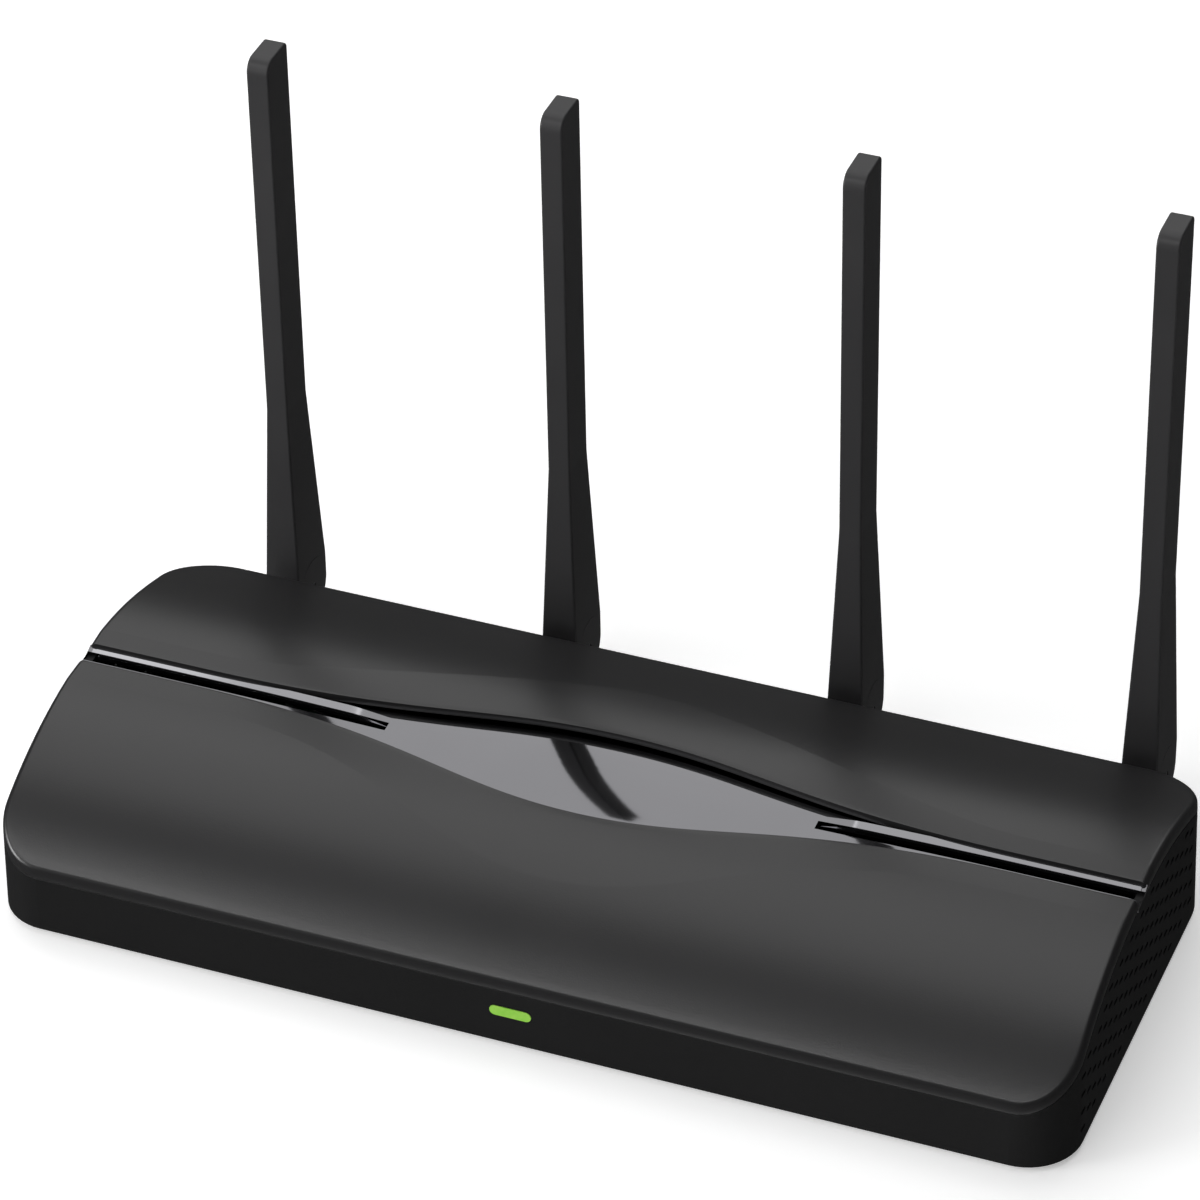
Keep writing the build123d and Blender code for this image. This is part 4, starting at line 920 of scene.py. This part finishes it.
def finnedBlock():
    # A base plate under a row of fins with round tips
    tree, given = newTree("finnedBlock", "Side", "Base", "Fin", "Thick", "Count", "Pitch")
    size = addNode(tree, "ShaderNodeCombineXYZ", X=given["Side"], Y=given["Side"], Z=given["Base"]).outputs[0]
    base = addNode(tree, "GeometryNodeMeshCube", Size=size).outputs[0]
    base = liftShape(tree, base, mathNode(tree, "MULTIPLY", given["Base"], 0.5))
    tipRadius = mathNode(tree, "MULTIPLY", given["Thick"], 0.5)
    tall = mathNode(tree, "SUBTRACT", given["Fin"], tipRadius)
    plate = addNode(tree, "ShaderNodeCombineXYZ", X=given["Thick"], Y=given["Side"], Z=tall).outputs[0]
    fin = addNode(tree, "GeometryNodeMeshCube", Size=plate).outputs[0]
    finMiddle = mathNode(tree, "ADD", mathNode(tree, "MULTIPLY", tall, 0.5), given["Base"])
    fin = liftShape(tree, fin, finMiddle)
    tip = cylinder(tree, finShape["tipSides"], tipRadius, given["Side"])
    tip = liftShape(tree, tip, mathNode(tree, "ADD", tall, given["Base"]), (math.pi / 2, 0, 0))
    row = evenRow(tree, given["Count"], given["Pitch"])
    finishTree(tree, given, joinShapes(tree, base, repeated(tree, row, joinShapes(tree, fin, tip))))
    return tree


springs = dict(
    xs=(-17.6, 0.0, 17.6, 58.0), backs=(98.92,), height=18.68,
    Count=8, Pitch=1.02 * mm, Radius=0.2 * mm, Reach=6.7 * mm, Drop=1.42 * mm, Finish=finishes["contact_gold"],
)
feet = dict(
    xs=(-100.0, 100.0), backs=(17.0, 95.0), height=-1.5,
    Radius=5.5 * mm, Thick=1.6 * mm, Count=9, Pitch=1.15 * mm, Rib=0.36 * mm, Finish=finishes["foot_rubber"],
)
caseScrews = dict(
    xs=(-117.0, 117.0), backs=(30.0, 84.0), height=10.0,
    Radius=1.5 * mm, Length=11.9 * mm, HeadRadius=2.8 * mm, HeadHeight=2.0 * mm, CrossLength=3.2 * mm,
    CrossWidth=0.8 * mm, CrossDepth=1.1 * mm, Pitch=0.9 * mm, Finish=finishes["screw_steel"],
)
boardScrews = dict(
    xs=(-92.0, 92.0), backs=(24.0, 90.0), height=9.2,
    Radius=1.25 * mm, Length=4.5 * mm, HeadRadius=2.4 * mm, HeadHeight=1.6 * mm, CrossLength=2.8 * mm,
    CrossWidth=0.7 * mm, CrossDepth=0.9 * mm, Pitch=0.6 * mm, Finish=finishes["screw_steel"],
)
sink = dict(
    xs=(0.0,), backs=(52.0,), height=9.6,
    Side=36.0 * mm, Base=2.0 * mm, Fin=7.0 * mm, Thick=1.2 * mm, Count=8, Pitch=34.8 / 7 * mm,
    Finish=finishes["sink_aluminium"],
)


def setOut(pieceName, tree, look, slotName, stoodFor):
    values = dict(look)
    xs, backs, height = (values.pop(key) for key in ("xs", "backs", "height"))
    mesh = bakeTree(pieceName, tree, [(x, back, height) for x in xs for back in backs], **values)
    newPiece(pieceName, mesh, "root", slotName, [look["Finish"]], stoodFor)


setOut("jack_contact_springs", contactComb(), springs, "contact_gold", "jack_contacts")
setOut("ribbed_feet", ribbedPad(), feet, "foot_rubber", "rubber_feet")
screwUp, screwDown = crossScrew("crossScrewUp", (0, 0, 0)), crossScrew("crossScrewDown", (math.pi, 0, 0))
setOut("threaded_case_screws", screwUp, caseScrews, "screw_steel", "case_screws")
setOut("threaded_board_screws", screwDown, boardScrews, "screw_steel", "board_screws")
setOut("finned_sink", finnedBlock(), sink, "sink_aluminium", "heat_sink")
print("repeated parts made")


# Floor, light and camera
studio = dict(
    aim=(-0.0016, -0.0063, 0.0813), distance=1.3058, azimuth=22.0, elevation=36.34, roll=-1.139, lens=174.77,
    floorSize=12.0, floorColour=(0.9, 0.9, 0.9), floorGlow=0.4, backdrop=0.95, fill=0.05,
)


def makeFloor():
    size = studio["floorSize"] / 2
    data = bpy.data.meshes.new("studioFloor")
    data.from_pydata([(-size, -size, 0), (size, -size, 0), (size, size, 0), (-size, size, 0)], [], [(0, 1, 2, 3)])
    floor = bpy.data.objects.new("studioFloor", data)
    bpy.context.scene.collection.objects.link(floor)
    material, tree, shader, _ = startMaterial("studioPaper", {"Roughness": 0.9, "Specular IOR Level": 0.0})
    shader.inputs["Base Color"].default_value = (*studio["floorColour"], 1)
    shader.inputs["Emission Color"].default_value = (1, 1, 1, 1)
    shader.inputs["Emission Strength"].default_value = studio["floorGlow"]
    # Seen from beneath, the paper is clear, so that the underside shows
    clear = tree.nodes.new("ShaderNodeBsdfTransparent")
    side = tree.nodes.new("ShaderNodeNewGeometry")
    rays = tree.nodes.new("ShaderNodeLightPath")
    either = mathNode(tree, "MAXIMUM", side.outputs["Backfacing"], rays.outputs["Is Shadow Ray"])
    mix = tree.nodes.new("ShaderNodeMixShader")
    tree.links.new(either, mix.inputs[0])
    tree.links.new(shader.outputs[0], mix.inputs[1])
    tree.links.new(clear.outputs[0], mix.inputs[2])
    tree.links.new(mix.outputs[0], tree.nodes["Material Output"].inputs[0])
    data.materials.append(material)
    floor.visible_glossy = False


def makeWorld():
    world = bpy.data.worlds.new("studioWorld")
    world.use_nodes = True
    tree = world.node_tree
    sky = tree.nodes["Background"]
    sky.inputs[0].default_value = (1, 1, 1, 1)
    sky.inputs[1].default_value = studio["fill"]
    seen = tree.nodes.new("ShaderNodeBackground")
    seen.inputs[1].default_value = studio["backdrop"]
    rays = tree.nodes.new("ShaderNodeLightPath")
    mix = tree.nodes.new("ShaderNodeMixShader")
    tree.links.new(rays.outputs["Is Camera Ray"], mix.inputs[0])
    tree.links.new(sky.outputs[0], mix.inputs[1])
    tree.links.new(seen.outputs[0], mix.inputs[2])
    tree.links.new(mix.outputs[0], tree.nodes["World Output"].inputs[0])
    bpy.context.scene.world = world


lamps = dict(
    overhead=dict(at=(-0.5, 0.35, 2.0), aim=(-0.5, 0.35, 0), size=(2.4, 1.3), power=17),
    rearBox=dict(at=(-0.85, 1.865, 1.803), aim=(-0.1, 0, 0.05), size=(3.2, 1.9), power=26),
    frontTop=dict(at=(-0.65, -1.38, 1.75), aim=(0, 0, 0.05), size=(1.8, 0.35), power=13),
    frontLeft=dict(at=(-1.5, -1.0, 0.35), aim=(-0.08, -0.03, 0.04), size=(0.7, 0.7), power=24),
    beneath=dict(at=(0, 0, -1.5), aim=(0, 0, 0), size=(1.5, 1.5), power=12),
)


def softLight(name, at, aim, size, power):
    data = bpy.data.lights.new(name, "AREA")
    data.shape = "RECTANGLE"
    data.size, data.size_y = size
    data.energy = power
    lamp = bpy.data.objects.new(name, data)
    lamp.location = at
    lamp.rotation_mode = "QUATERNION"
    lamp.rotation_quaternion = (Vector(aim) - Vector(at)).to_track_quat("-Z", "Y")
    bpy.context.scene.collection.objects.link(lamp)


def makeCamera():
    a, e = math.radians(studio["azimuth"]), math.radians(studio["elevation"])
    back = Vector((math.sin(a) * math.cos(e), -math.cos(a) * math.cos(e), math.sin(e)))
    data = bpy.data.cameras.new("studioCamera")
    data.lens = studio["lens"]
    data.sensor_width = 36.0
    data.clip_start, data.clip_end = 0.05, 50.0
    camera = bpy.data.objects.new("studioCamera", data)
    camera.location = Vector(studio["aim"]) + back * studio["distance"]
    camera.rotation_mode = "QUATERNION"
    turn = (-back).to_track_quat("-Z", "Y")
    camera.rotation_quaternion = turn @ Quaternion((0, 0, 1), math.radians(studio["roll"]))
    bpy.context.scene.collection.objects.link(camera)
    bpy.context.scene.camera = camera


makeFloor()
makeWorld()
for lampName, lamp in lamps.items():
    softLight(lampName, **lamp)
makeCamera()
bpy.context.scene.view_settings.view_transform = "Standard"
print("studio made")
